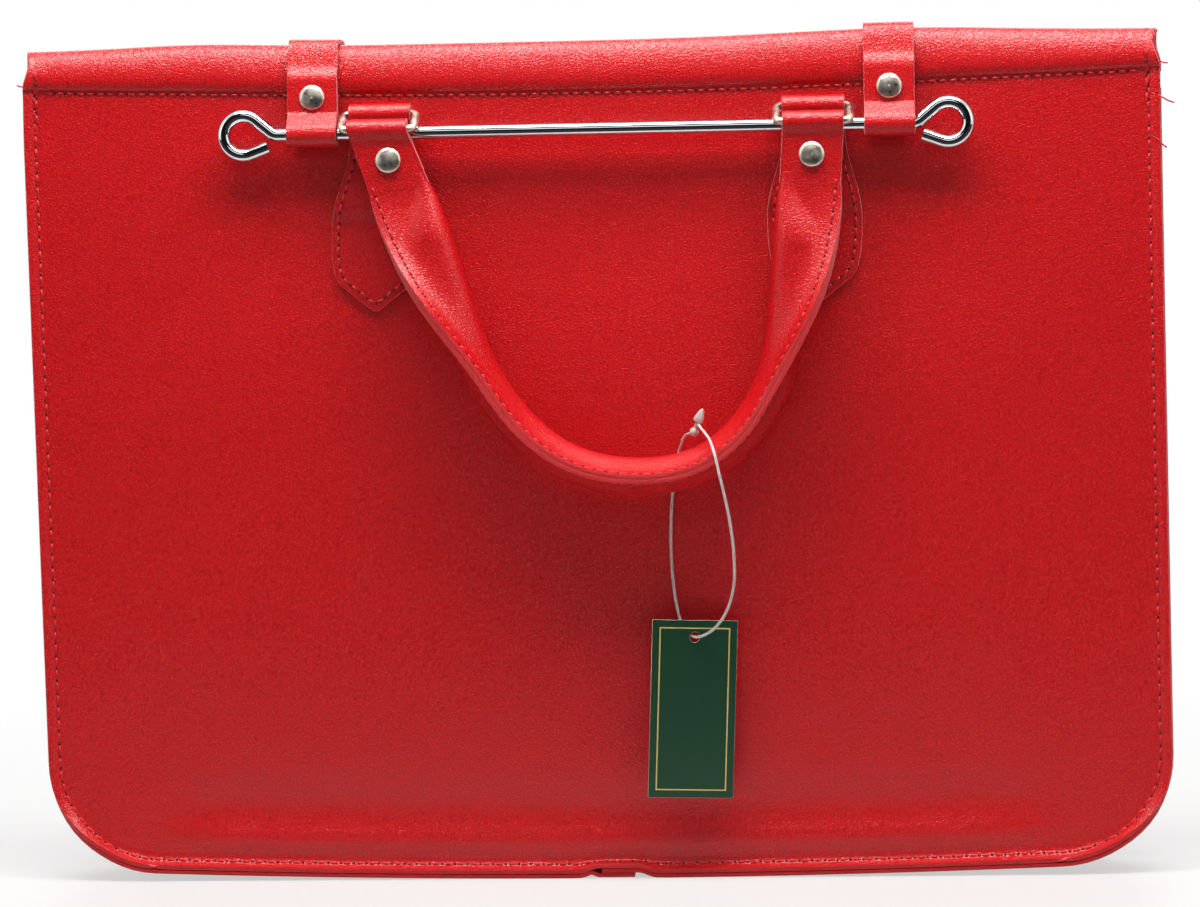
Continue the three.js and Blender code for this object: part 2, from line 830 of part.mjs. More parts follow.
// The strip folded round the core, with its two edges laid together for the seam.
function foldedSection(frame) {
  const { loop, coreAt } = frame;
  const edge = handleWidth / 2;
  const flatHalf = layerPitch / 2;
  const blendEnd = Math.min(coreAt + 2 * loop, edge - seamFlat);
  const half = [
    [edge, flatHalf],
    [(edge + blendEnd) / 2, flatHalf],
    [blendEnd, flatHalf],
  ];
  for (let k = coverBlendSteps - 1; k >= 0; k -= 1) {
    const share = k / coverBlendSteps;
    const a = coreAt + share * (blendEnd - coreAt);
    half.push([a, loop + (flatHalf - loop) * smoothstep(share, 0, 1)]);
  }
  for (let k = 1; k < coverTurnSteps; k += 1) {
    const turn = (k / coverTurnSteps) * Math.PI / 2;
    half.push([coreAt - loop * Math.sin(turn), loop * Math.cos(turn)]);
  }
  const mirrored = half.slice().reverse().map(([a, b]) => [a, -b]);
  return [...half, [coreAt - loop, 0], ...mirrored].map(([a, b]) => inFrame(frame, a, b));
}

// A flat tongue: from the folded strip over the ring's bar and back behind to the rivet.
function tongue(end) {
  const loop = barLoop;
  const near = layerPitch / 2;
  const line = new THREE.Path();
  line.moveTo(coverStart + tongueLap, near);
  line.lineTo(coverStart, near);
  line.lineTo(handleRivetDrop + rivetHead / 2, near);
  line.lineTo(handleRivetDrop - rivetHead / 2, near);
  line.bezierCurveTo(tongueEase, near, tongueEase * 2 / 3, loop, 0, loop);
  line.absarc(0, 0, loop, Math.PI / 2, Math.PI * 1.5, false);
  line.bezierCurveTo(
    tongueEase * 2 / 3, -loop, tongueEase, -near, handleRivetDrop - rivetHead / 2, -near,
  );
  line.lineTo(tongueTail, -near);
  const rows = line.getPoints(tongueSteps).map(({ x: along, y: b }) => {
    const distance = end < 0 ? Math.max(along, 0) : handleLength - Math.max(along, 0);
    const frame = handleFrame(distance);
    const row = [];
    for (let i = 0; i <= chapeColumns; i += 1) {
      const point = inFrame(frame, tongueWidth * (i / chapeColumns - 1 / 2), b);
      point.z += Math.max(-along, 0);
      row.push(point);
    }
    return row;
  });
  return thickSheet(rows, sheet);
}

function handleCover() {
  const rows = [];
  for (let k = 0; k <= coverSteps; k += 1) {
    const distance = coverStart + (k / coverSteps) * (handleLength - 2 * coverStart);
    rows.push(foldedSection(handleFrame(distance)));
  }
  let body = toManifold(thickSheet(rows, sheet));
  [-1, 1].forEach((end) => {
    body = body.add(toManifold(tongue(end)));
    const distance = end < 0 ? handleRivetDrop : handleLength - handleRivetDrop;
    const { centre } = handleFrame(distance);
    body = drill(body, centre.x, centre.y, centre.z, rivetPost + 2 * layerGap);
  });
  return fromManifold(body);
}

function handleCore() {
  const rings = [];
  const start = coverStart + coreTaper / 2;
  for (let k = 0; k <= coreSteps; k += 1) {
    const frame = handleFrame(start + (k / coreSteps) * (handleLength - 2 * start));
    const radius = frame.radius - layerGap / 2;
    const circle = [];
    for (let i = 0; i < wireSides; i += 1) {
      const turn = (i / wireSides) * Math.PI * 2;
      circle.push(inFrame(frame, frame.coreAt + radius * Math.cos(turn), radius * Math.sin(turn)));
    }
    rings.push(circle);
  }
  return loft(rings);
}

add('handle_cover', handleCover(), leathercloth());
add('handle_core', handleCore(), rope());
[['left', -1], ['right', 1]].forEach(([name, end]) => {
  const distance = end < 0 ? handleRivetDrop : handleLength - handleRivetDrop;
  const { centre } = handleFrame(distance);
  rivet(`handle_rivet_${name}`, centre.x, centre.y - strapGrip / 2, centre.z, strapGrip);
});

// The case stands on the middle of its footprint.
const footprint = new THREE.Box3().setFromObject(parts);
const middleY = (footprint.min.y + footprint.max.y) / 2;

// Swing tag

// The nylon loop's route round the handle and through the tag's hole, from the lock and back.
const holePlace = [32.4, -25.8, 82.2];
const loopRoute = [
  [34.9, -26.4, 153.0],
  [38.0, -32.8, 149.6],
  [39.2, -37.6, 148.0],
  [40.6, -41.2, 144.2],
  [42.0, -42.4, 138.0],
  [43.6, -42.6, 131.0],
  [45.4, -42.0, 121.0],
  [46.4, -39.8, 110.0],
  [46.0, -36.6, 100.0],
  [43.2, -32.8, 91.0],
  [38.2, -29.2, 84.6],
  holePlace,
  [28.4, -22.4, 85.6],
  [26.2, -20.2, 93.0],
  [25.0, -18.4, 103.0],
  [24.6, -17.0, 114.0],
  [25.0, -16.2, 125.0],
  [26.2, -16.1, 135.0],
  [28.0, -16.7, 144.4],
  [30.2, -19.2, 149.2],
  [32.4, -22.8, 150.2],
].map(([x, y, z]) => new THREE.Vector3(x, y, z));

const loopCurve = new THREE.CatmullRomCurve3(loopRoute, false, 'centripetal');
add('tag_loop', wire(loopCurve.getSpacedPoints(loopSteps), loopDiameter / 2, loopSides), nylon());

// The lock: a tapered plug with a shoulder, on a ball that takes the other end of the loop.
function tagLock() {
  const radius = lockBall / 2;
  const tip = lockLength - radius;
  const ball = [];
  for (let k = 0; k < domeSteps + 1; k += 1) {
    const turn = (k / (domeSteps + 1)) * Math.PI;
    ball.push(new THREE.Vector2(radius * Math.sin(turn), -radius * Math.cos(turn)));
  }
  const profile = [
    ...ball,
    new THREE.Vector2(lockNeck / 2, lockNeckStart),
    new THREE.Vector2(lockNeck / 2, lockNeckEnd),
    new THREE.Vector2(lockWidth / 2, lockShoulder),
    new THREE.Vector2(lockWaistWidth / 2, lockWaist),
    new THREE.Vector2(lockPoint / 2, tip),
    new THREE.Vector2(0, tip),
  ];
  return solid(new THREE.LatheGeometry(profile, lockSides));
}

// The lock lies on the end of the loop, and its plug points up beside the loop's start.
const [loopBefore, loopEnd] = loopRoute.slice(-2);
const loopWay = loopEnd.clone().sub(loopBefore).normalize();
const plugWay = new THREE.Vector3(0.35, -0.2, 0.92).normalize();
const lock = add('tag_lock', tagLock(), nylon());
lock.position.copy(loopEnd).addScaledVector(loopWay, lockBall / 2 + layerGap);
lock.quaternion.setFromUnitVectors(new THREE.Vector3(0, 1, 0), plugWay);

function tagCardShape() {
  const shape = new THREE.Shape();
  shape.moveTo(-tagWidth / 2, tagHoleDrop - tagHeight);
  shape.lineTo(tagWidth / 2, tagHoleDrop - tagHeight);
  shape.lineTo(tagWidth / 2, tagHoleDrop);
  shape.lineTo(-tagWidth / 2, tagHoleDrop);
  shape.closePath();
  const hole = new THREE.Path();
  hole.absarc(0, 0, tagHole / 2, 0, Math.PI * 2, false);
  shape.holes.push(hole);
  const geometry = new THREE.ExtrudeGeometry(shape, {
    depth: tagCard, curveSegments: holeSteps, bevelEnabled: false,
  });
  geometry.translate(0, 0, -tagCard / 2);
  return solid(geometry);
}

const tag = add('swing_tag', tagCardShape(), card());
tag.position.set(...holePlace);
tag.rotation.set(Math.PI / 2, tagTurn * degrees, -tagTilt * degrees);

parts.position.y = -middleY;
export default parts;
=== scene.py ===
# %% [markdown]
# # A music case in red leathercloth
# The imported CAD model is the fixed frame: every piece below is built where a CAD solid stands,
# in the same places, and only looks finer. Sizes are in millimetres and turn to metres once,
# when a mesh is made.

# %% Load the frame
import math

import bpy
import numpy as np
from mathutils import Matrix, Vector


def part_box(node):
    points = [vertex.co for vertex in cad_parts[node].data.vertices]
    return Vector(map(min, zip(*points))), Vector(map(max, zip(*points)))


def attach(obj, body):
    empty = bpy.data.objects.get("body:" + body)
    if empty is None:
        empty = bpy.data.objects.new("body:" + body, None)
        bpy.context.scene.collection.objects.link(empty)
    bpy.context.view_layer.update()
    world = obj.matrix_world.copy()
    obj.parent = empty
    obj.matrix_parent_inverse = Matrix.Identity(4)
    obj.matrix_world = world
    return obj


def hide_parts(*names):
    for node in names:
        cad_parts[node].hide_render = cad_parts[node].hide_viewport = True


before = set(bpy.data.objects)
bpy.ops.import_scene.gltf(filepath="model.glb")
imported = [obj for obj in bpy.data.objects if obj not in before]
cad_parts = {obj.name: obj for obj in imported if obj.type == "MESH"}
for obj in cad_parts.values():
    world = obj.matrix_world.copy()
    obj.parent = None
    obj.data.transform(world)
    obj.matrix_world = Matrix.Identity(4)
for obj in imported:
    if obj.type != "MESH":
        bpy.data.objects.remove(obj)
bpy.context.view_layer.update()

MM = 0.001


def new_object(name, data):
    """An object for a mesh, a drawing, a lamp or a camera, put into the scene."""
    made = bpy.data.objects.new(name, data)
    bpy.context.scene.collection.objects.link(made)
    return made


# %% [markdown]
# ## Camera
# The photograph was taken from a little to the right of the middle, slightly above, with the
# camera turned about a degree. A camera object needs no tracking constraint for that: its
# three axes are worked out from yaw, pitch and roll and written as its matrix, which stays the
# same however the file is run.

# %% Camera
PHOTO_WIDTH = 1200
VIEW_YAW, VIEW_PITCH, VIEW_ROLL = (math.radians(angle) for angle in (3.82, 3.73, -1.08))
VIEW_DISTANCE = 1.315
VIEW_TARGET = Vector((0, 0, 0.141))
PIXELS_PER_METRE = 2969
PHOTO_OFF_CENTRE = (2.7, 6.3)
SENSOR_WIDTH = 36

camera_data = bpy.data.cameras.new("camera")
camera_data.sensor_width = SENSOR_WIDTH
camera_data.lens = SENSOR_WIDTH * PIXELS_PER_METRE * VIEW_DISTANCE / PHOTO_WIDTH
camera_data.shift_x, camera_data.shift_y = (pixels / PHOTO_WIDTH for pixels in PHOTO_OFF_CENTRE)
camera_data.dof.use_dof = False
camera = new_object("camera", camera_data)
bpy.context.scene.camera = camera

forward = Vector((
    -math.sin(VIEW_YAW) * math.cos(VIEW_PITCH),
    math.cos(VIEW_YAW) * math.cos(VIEW_PITCH),
    -math.sin(VIEW_PITCH),
))
level = Vector((math.cos(VIEW_YAW), math.sin(VIEW_YAW), 0))
upward = level.cross(forward)
right = level * math.cos(VIEW_ROLL) + upward * math.sin(VIEW_ROLL)
upright = upward * math.cos(VIEW_ROLL) - level * math.sin(VIEW_ROLL)
turned = Matrix((right, upright, -forward)).transposed().to_4x4()
camera.matrix_world = Matrix.Translation(VIEW_TARGET - forward * VIEW_DISTANCE) @ turned
print("lens", round(camera_data.lens, 1), "mm")

# %% [markdown]
# ## Sizes
# The same named sizes as in the CAD source, so that the fine pieces follow the solids. The one
# number that isn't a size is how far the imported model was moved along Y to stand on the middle
# of its footprint. It is measured from the rod, which is in both.

# %% Sizes of the case, in millimetres
CASE_WIDTH, CASE_HEIGHT = 381, 282
BASE_DEPTH, MOUTH_DEPTH = 32, 17
CORNER_RADIUS = 37
BACK_DROP = 3
SEAM_ALLOWANCE = 7
PANEL_BULGE, BULGE_MARGIN, FLAT_BELOW_HEM = 2.4, 85, 27
SHEET, GUSSET_SHEET = 1.6, 1.4
LAYER_GAP, LOOP_PLAY = 0.3, 0.5
HEM_DROP_ENDS, HEM_DROP_MIDDLE = 13, 17
HEM_PUFF, HEM_TAIL = 2.4, 2
GUSSET_TOP_DROP, GUSSET_BEND = 20, 1.6
LAP_CENTRE, LAP_LENGTH, LAP_MARGIN, LAP_RAMP = 5, 11, 1, 6
HALF_WIDTH, HALF_MOUTH = CASE_WIDTH / 2, MOUTH_DEPTH / 2
LAYER_PITCH = SHEET + LAYER_GAP
FIRST_LAYER = LAYER_GAP + SHEET / 2
SIDES = {"left": -1, "right": 1}
PANELS = (("front", -1, CASE_HEIGHT), ("back", 1, CASE_HEIGHT - BACK_DROP))

# %% Sizes of the rod, rings, straps and chapes
ROD_RADIUS, ROD_HEIGHT = 2.2, 252
ROD_CENTRE, EYE_SPAN, EYE_RADIUS, EYE_BEND, EYE_TAIL = 1.2, 235.8, 6.6, 4, 6.8
EYE_NECK_SLOPE, EYE_TAIL_ANGLE = math.radians(40), math.radians(290)
STRAP_WIDTH, STRAP_SPAN, STRAP_CENTRE = 16.5, 193, 3.2
STRAP_RIVET_DROP, STRAP_FLAT = 17.7, 5.2
STRAP_BACK_LENGTH, STRAP_POINT, STRAP_TIP, STRAP_STAND_OFF = 62, 9, 1.4, 0.7
STRAP_BACK_CURVE, STRAP_FRONT_CURVE, STRAP_CROWN, STRAP_LEAD = 9, 8, 1, 3
RING_GAPS = {-1: 0.7, 1: 3.5}
RING_INSIDE, RING_WIRE, RING_LENGTH, RING_CORNER, RING_SPLIT = 21.5, 2.8, 11, 2.4, 0.4
WIRE_RADIUS = RING_WIRE / 2
BAR_HEIGHT = CASE_HEIGHT - 23.5
CHAPE_NECK, CHAPE_BELLY, CHAPE_LENGTH, CHAPE_TAIL = 20.5, 31.4, 66, 28
CHAPE_TAIL_GAP, CHAPE_TAIL_RAMP, CHAPE_TIP = 2, 8, 1.6
CHAPE_POINT_SHARE, CHAPE_POINT_RISE, CHAPE_POINT_TURN = 0.7, 8, 2
CHAPE_BELLY_RISE, CHAPE_NECK_RISE, CHAPE_EASE = 28, 58, 12
CHAPE_TURN_ABOVE_ROD = 2.3
CHAPE_SLANTS = {-1: 3, 1: 0}

# %% Sizes of the handle, rivets and tag
HANDLE_WIDTH, TONGUE_WIDTH, TONGUE_TAIL, TONGUE_LAP, TONGUE_EASE = 22, 20, 15.5, 4, 3
SEAM_FLAT = 3
HANDLE_DROP, HANDLE_LOW, HANDLE_SWEEP = 117, 16, 45
HANDLE_LEFT_SLANT, HANDLE_LEFT_REACH = math.radians(20), 85
HANDLE_RIGHT_SLANT, HANDLE_RIGHT_REACH = math.radians(3), 70
CORE_DIAMETER, CORE_TAPER, COVER_START, HANDLE_STAND_OFF = 8.4, 24, 17, 1.2
TWIST_START, TWIST_END, HANDLE_RIVET_DROP = 16, 96, 11
RIVET_HEAD, RIVET_DOME, RIVET_LIP, RIVET_POST = 8.6, 1.7, 0.35, 3
RIVET_BACK, RIVET_BACK_THICKNESS, RIVET_BACK_EDGE = 7.6, 1, 0.5
GRIP = 2 * SHEET + LAYER_GAP
COVER_CLOSES, COVER_WIDENS = 12, 14
ROPE_STRANDS, ROPE_LAY = 3, 26
TAG_WIDTH, TAG_HEIGHT, TAG_CARD, TAG_HOLE, TAG_HOLE_DROP = 28.5, 59.5, 0.6, 3.7, 5.6
TAG_TURN, TAG_TILT = math.radians(9), math.radians(2.5)
LOOP_DIAMETER = 1
LOCK_LENGTH, LOCK_WIDTH, LOCK_BALL, LOCK_NECK = 10, 3.6, 3.2, 1.4
LOCK_NECK_START, LOCK_NECK_END, LOCK_SHOULDER = 1.9, 3.4, 4
LOCK_WAIST, LOCK_WAIST_WIDTH, LOCK_POINT = 6, 2.9, 1
LOCK_WAY = (0.35, -0.2, 0.92)


def spread(z):
    """How far a panel stands out of the upright at a height: the case widens to its base."""
    return (BASE_DEPTH - MOUTH_DEPTH) / 2 * np.maximum(0, 1 - np.asarray(z, float) / CASE_HEIGHT)


STRAP_TAIL_OUT = FIRST_LAYER + LAYER_PITCH + STRAP_STAND_OFF
STRAP_FRONT_OUT = STRAP_TAIL_OUT + LAYER_PITCH
ROD_OUT = STRAP_TAIL_OUT + SHEET / 2 + LOOP_PLAY + ROD_RADIUS
ROD_Y = -(HALF_MOUTH + float(spread(ROD_HEIGHT)) + ROD_OUT)
rod_low, rod_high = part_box("rod")
SHIFT = (rod_low.y + rod_high.y) / 2 / MM - ROD_Y
print("the packed model stands", round(SHIFT, 3), "mm behind the drawing")

# %% [markdown]
# ## Lines and meshes
# All the sheet goods are a grid of points with a thickness, all the wires are a circle swept
# along a line, and the small turned parts are an outline spun round an axis. Three short
# makers in plain mesh code cover them. Modifiers could do the same, but then a later step
# couldn't ask where a surface lies, and the stitches need that.


# %% Curves
def smoothstep(value, low, high):
    share = np.clip((np.asarray(value, float) - low) / (high - low), 0, 1)
    return share * share * (3 - 2 * share)


def bezier(a, b, c, d, steps):
    """A cubic curve from a to d, pulled towards b and c."""
    t = np.linspace(0, 1, steps + 1)[:, None]
    a, b, c, d = (np.asarray(p, float) for p in (a, b, c, d))
    return (1 - t) ** 3 * a + 3 * (1 - t) ** 2 * t * b + 3 * (1 - t) * t ** 2 * c + t ** 3 * d


def arc(centre, radius, start, end, steps):
    turn = np.linspace(start, end, steps + 1)
    return np.stack([centre[0] + radius * np.cos(turn), centre[1] + radius * np.sin(turn)], 1)


def join(*runs):
    """One line through several, with repeated points left out."""
    points = np.concatenate([np.atleast_2d(np.asarray(run, float)) for run in runs])
    gaps = np.linalg.norm(np.diff(points, axis=0), axis=1)
    return points[np.r_[True, gaps > 1e-6]]


def respace(points, step):
    """The same line with evenly spaced points, about a step apart."""
    along = np.r_[0, np.cumsum(np.linalg.norm(np.diff(points, axis=0), axis=1))]
    stops = np.linspace(0, along[-1], max(2, round(along[-1] / step) + 1))
    return np.stack([np.interp(stops, along, column) for column in points.T], 1)


def unit(vectors):
    vectors = np.asarray(vectors, float)
    return vectors / np.maximum(np.linalg.norm(vectors, axis=-1, keepdims=True), 1e-12)


# %% Meshes
def flow(points, faces):
    """Six times the volume that the faces close in. It is negative where they point inwards."""
    a, b, c, d = (points[faces[:, i]] for i in range(4))
    return np.einsum("ij,ij->", a, np.cross(b, c)) + np.einsum("ij,ij->", a, np.cross(c, d))


def make_piece(name, parts, finishes, crease=38):
    """One mesh object at the origin from parts, each (points, faces, index of its finish)."""
    all_points, all_faces, all_finishes, count = [], [], [], 0
    for points, faces, finish in parts:
        points, faces = np.asarray(points, float), np.asarray(faces, int)
        if flow(points, faces) < 0:
            faces = faces[:, ::-1]
        all_points.append(points)
        all_faces.append(faces + count)
        all_finishes.append(np.broadcast_to(finish, len(faces)))
        count += len(points)
    points = (np.concatenate(all_points) + (0, SHIFT, 0)) * MM
    faces = np.concatenate(all_faces)
    mesh = bpy.data.meshes.new(name)
    mesh.from_pydata(points.tolist(), [], [list(dict.fromkeys(face)) for face in faces.tolist()])
    for finish in finishes:
        mesh.materials.append(finish)
    mesh.polygons.foreach_set("material_index", np.concatenate(all_finishes).astype(np.int32))
    mesh.shade_smooth()
    mesh.set_sharp_from_angle(angle=math.radians(crease))
    print(name, len(mesh.polygons), "faces")
    return new_object(name, mesh)


def thick_sheet(rows, thickness, finishes=(0, 1, 1), edge_round=0.12):
    """A sheet about a grid of points. finishes are those of its face, its back and its rim."""
    rows = np.asarray(rows, float)
    across, along = np.gradient(rows, axis=1), np.gradient(rows, axis=0)
    normal = unit(np.cross(across, along))
    face, back = rows + normal * thickness / 2, rows - normal * thickness / 2
    index = np.arange(rows.shape[0] * rows.shape[1]).reshape(rows.shape[:2])
    a, b, c, d = index[:-1, :-1], index[:-1, 1:], index[1:, 1:], index[1:, :-1]
    top = np.stack([a, b, c, d], -1).reshape(-1, 4)
    low = np.stack([a, d, c, b], -1).reshape(-1, 4) + index.size
    ring = np.concatenate([index[0, :-1], index[:-1, -1], index[-1, :0:-1], index[:0:-1, 0]])
    edge = rows.reshape(-1, 3)[ring]
    run = np.roll(edge, -1, axis=0) - np.roll(edge, 1, axis=0)
    outward = unit(np.cross(run, normal.reshape(-1, 3)[ring]))
    middle = edge + outward * edge_round * thickness
    mid = np.arange(len(ring)) + 2 * index.size
    ring_next, mid_next = np.roll(ring, -1), np.roll(mid, -1)
    rim = np.concatenate([
        np.stack([ring_next, ring, mid, mid_next], 1),
        np.stack([mid_next, mid, ring + index.size, ring_next + index.size], 1),
    ])
    points = np.concatenate([face.reshape(-1, 3), back.reshape(-1, 3), middle])
    faces = np.concatenate([top, low, rim])
    finish = np.repeat(finishes, [len(top), len(low), len(rim)])
    return points, faces, finish


def sweep(points, radius, sides, chamfer=0.0):
    """A round bar along a line. Its section is carried along without twisting."""
    points = np.asarray(points, float)
    radii = np.full(len(points), float(radius))
    if chamfer:
        first = points[0] + unit(points[1] - points[0]) * chamfer
        last = points[-1] + unit(points[-2] - points[-1]) * chamfer
        points = np.concatenate([points[:1], [first], points[1:-1], [last], points[-1:]])
        radii = np.r_[radius - chamfer, radii, radius - chamfer]
    way = unit(np.gradient(points, axis=0))
    side = unit(np.cross(way[0], (0.3, 0.2, 1) if abs(way[0][2]) < 0.9 else (1, 0.2, 0.1)))
    turn = np.linspace(0, 2 * math.pi, sides, endpoint=False)[:, None]
    rings = []
    for centre, direction, size in zip(points, way, radii):
        side = unit(side - direction * (side @ direction))
        other = np.cross(direction, side)
        rings.append(centre + size * (np.cos(turn) * side + np.sin(turn) * other))
    return closed_rings(np.array(rings))


def closed_rings(rings):
    """A closed form through rings of points, with a fan over each end."""
    count, sides = rings.shape[:2]
    index = np.arange(count * sides).reshape(count, sides)
    after = np.roll(index, -1, axis=1)
    wall = np.stack([index[:-1], after[:-1], after[1:], index[1:]], -1).reshape(-1, 4)
    ends = [count * sides, count * sides + 1]
    caps = [
        np.stack([index[0], np.full(sides, ends[0]), after[0], after[0]], 1),
        np.stack([index[-1], after[-1], np.full(sides, ends[1]), np.full(sides, ends[1])], 1),
    ]
    points = np.concatenate([rings.reshape(-1, 3), [rings[0].mean(0), rings[-1].mean(0)]])
    return points, np.concatenate([wall, *caps]), 0


def spin(outline, sides, axis, place):
    """An outline of (radius, height) spun round an axis that starts at a place."""
    turn = np.linspace(0, 2 * math.pi, sides, endpoint=False)
    outline = np.asarray(outline, float)
    radius, height = np.maximum(outline[:, 0], 1e-4), outline[:, 1]
    rings = np.stack([
        radius[:, None] * np.cos(turn),
        radius[:, None] * np.sin(turn),
        np.broadcast_to(height[:, None], (len(outline), sides)),
    ], -1)
    turned = np.array(Vector((0, 0, 1)).rotation_difference(Vector(axis)).to_matrix())
    return closed_rings(rings @ turned.T + np.asarray(place, float))


# %% [markdown]
# ## Finishes
# One function turns the sRGB hex values that a colour picker gives into the linear numbers that
# Blender works in. Another adds a node, its settings and its links, so that each material
# below reads as a list of what it is made of. No real surface has one flat colour, so the plainer
# finishes share a third, which lets their colour wander between two over a grain's width.


# %% Colour and nodes
def tint(code, alpha=1.0):
    """A colour from sRGB hex, such as "a9121b"."""
    shares = [int(code[i:i + 2], 16) / 255 for i in (0, 2, 4)]
    linear = [s / 12.92 if s <= 0.04045 else ((s + 0.055) / 1.055) ** 2.4 for s in shares]
    return (*linear, alpha)


def node(tree, kind, inputs=None, **settings):
    """Adds a node. An input is a number or a socket, which is linked."""
    made = tree.nodes.new(kind)
    for key, value in settings.items():
        setattr(made, key, value)
    for key, value in (inputs or {}).items():
        if isinstance(value, bpy.types.NodeSocket):
            tree.links.new(value, made.inputs[key])
        else:
            made.inputs[key].default_value = value
    return made


def new_finish(name):
    """A material with only its shader, and that shader."""
    finish = bpy.data.materials.new(name)
    finish.use_nodes = True
    tree = finish.node_tree
    tree.nodes.clear()
    shader = node(tree, "ShaderNodeBsdfPrincipled")
    node(tree, "ShaderNodeOutputMaterial", {"Surface": shader.outputs["BSDF"]})
    return finish, tree, shader


def link(tree, output, shader, name):
    tree.links.new(output, shader.inputs[name])


def mottled_finish(name, grain, detail, dark, light):
    """A finish whose colour wanders between two over a grain's width, and the noise behind it."""
    finish, tree, shader = new_finish(name)
    place = node(tree, "ShaderNodeTexCoord").outputs["Object"]
    mottle = node(tree, "ShaderNodeTexNoise", {
        "Vector": place, "Scale": 1 / grain, "Detail": detail,
    })
    colour = node(tree, "ShaderNodeMix", {
        "Factor": mottle.outputs["Fac"], "A": tint(dark), "B": tint(light),
    }, data_type="RGBA")
    link(tree, colour.outputs["Result"], shader, "Base Color")
    return finish, tree, shader, mottle


# %% [markdown]
# ## Leathercloth
# The case is made of leathercloth: a coat of PVC on a woven or felted cloth, pressed hot
# between rollers so that it takes a pebble grain. Each pebble is a low dome a little over a
# millimetre wide, and the valleys between them hold less gloss; their colour is painted darker,
# as the shade that falls in them. A Voronoi texture on Object coordinates gives cells of that
# width, a noise bends them so that no two are alike, and the distance to the nearest cell wall
# gives both the domes and the valleys. The domes rise over a wide part of that distance and the
# colour is full over most of each pebble, so that the painted shade darkens only the thin valleys.

# %% Leathercloth
PEBBLE = 1.05 * MM
PEBBLE_DEPTH = 0.13 * MM
DOME_REACH, TOP_REACH = 0.34, 0.14
VALLEY_DULLER = 0.06


def leathercloth(name, base, valley_painted_shade, roughness, pebble=PEBBLE):
    finish, tree, shader = new_finish(name)
    place = node(tree, "ShaderNodeTexCoord").outputs["Object"]
    wander = node(tree, "ShaderNodeTexNoise", {
        "Vector": place, "Scale": 0.6 / pebble, "Detail": 1.0,
    })
    bent = node(tree, "ShaderNodeVectorMath", {
        0: wander.outputs["Color"], 1: (0.9 * pebble,) * 3, 2: place,
    }, operation="MULTIPLY_ADD")
    cells = node(tree, "ShaderNodeTexVoronoi", {
        "Vector": bent.outputs["Vector"], "Scale": 1 / pebble,
    }, feature="DISTANCE_TO_EDGE")
    dome = node(tree, "ShaderNodeMapRange", {
        "Value": cells.outputs["Distance"], "From Max": DOME_REACH,
    }, interpolation_type="SMOOTHSTEP")
    top = node(tree, "ShaderNodeMapRange", {
        "Value": cells.outputs["Distance"], "From Max": TOP_REACH,
    }, interpolation_type="SMOOTHSTEP")
    broad = node(tree, "ShaderNodeTexNoise", {
        "Vector": place, "Scale": 1 / (3.2 * pebble), "Detail": 2.0,
    })
    height = node(tree, "ShaderNodeMath", {
        0: broad.outputs["Fac"], 1: 0.7, 2: dome.outputs["Result"],
    }, operation="MULTIPLY_ADD")
    bump = node(tree, "ShaderNodeBump", {
        "Strength": 0.62, "Distance": PEBBLE_DEPTH, "Height": height.outputs["Value"],
    })
    # Painted shade: the colour darkens towards the cell walls, where the valleys between the
    # pebbles lie.
    colour = node(tree, "ShaderNodeMix", {
        "Factor": top.outputs["Result"], "A": tint(valley_painted_shade), "B": tint(base),
    }, data_type="RGBA")
    gloss = node(tree, "ShaderNodeMapRange", {
        "Value": dome.outputs["Result"],
        "To Min": roughness + VALLEY_DULLER, "To Max": roughness,
    })
    link(tree, colour.outputs["Result"], shader, "Base Color")
    link(tree, gloss.outputs["Result"], shader, "Roughness")
    link(tree, bump.outputs["Normal"], shader, "Normal")
    shader.inputs["IOR"].default_value = 1.5
    return finish


# The second colour of each is painted shade for the valleys between the pebbles.
pebbled_red = leathercloth("leathercloth_pebbled_pvc", "c8020c", "a60208", 0.29)
strap_red = leathercloth("leathercloth_strap_pvc", "d0050f", "ae040b", 0.3)

# %% [markdown]
# ## Cut edges, thread, metal, nylon and card
# The cloth behind the PVC is a raised felt that shows at every cut edge, lighter than the face
# and quite matt. The thread is filament polyester, which has a soft sheen. Where it dives into
# the needle holes it is painted darker, as the shade in the holes. The rod is chrome plate,
# neutral and mirror bright, and the wire and rivets are nickel plate, which is warmer and a
# little softer. The loop is clear nylon, and the tag is coated card with a printed edge.

# %% Felt backing
FELT_FIBRE = 0.35 * MM
felt, tree, shader, fibres = mottled_finish(
    "felt_backing_raised", FELT_FIBRE, 4.0, "b01018", "dc2c30")
fibres.inputs["Roughness"].default_value = 0.7
bump = node(tree, "ShaderNodeBump", {
    "Strength": 0.8, "Distance": 0.2 * MM, "Height": fibres.outputs["Fac"],
})
link(tree, bump.outputs["Normal"], shader, "Normal")
shader.inputs["Roughness"].default_value = 0.92
shader.inputs["Sheen Weight"].default_value = 0.25

# %% Polyester thread
THREAD_TWIST = 0.5 * MM
thread, tree, shader, plies = mottled_finish(
    "thread_filament_polyester", THREAD_TWIST, 2.0, "a8000c", "dc0412")
bump = node(tree, "ShaderNodeBump", {
    "Strength": 0.5, "Distance": 0.08 * MM, "Height": plies.outputs["Fac"],
})
link(tree, bump.outputs["Normal"], shader, "Normal")
shader.inputs["Roughness"].default_value = 0.55
shader.inputs["Sheen Weight"].default_value = 0.05

# %% Thread painted dark as the shade in the needle holes
# Dark thread colours: painted shade for the needle holes between the stitches.
hole_shade_thread, _, shader, _ = mottled_finish(
    "thread_painted_needle_hole_shade", THREAD_TWIST, 2.0, "4c0106", "7c030b")
shader.inputs["Roughness"].default_value = 0.9


# %% Plated metal
DRAWN_WAVE, POLISH_STAIN = 6.25 * MM, 2.381 * MM


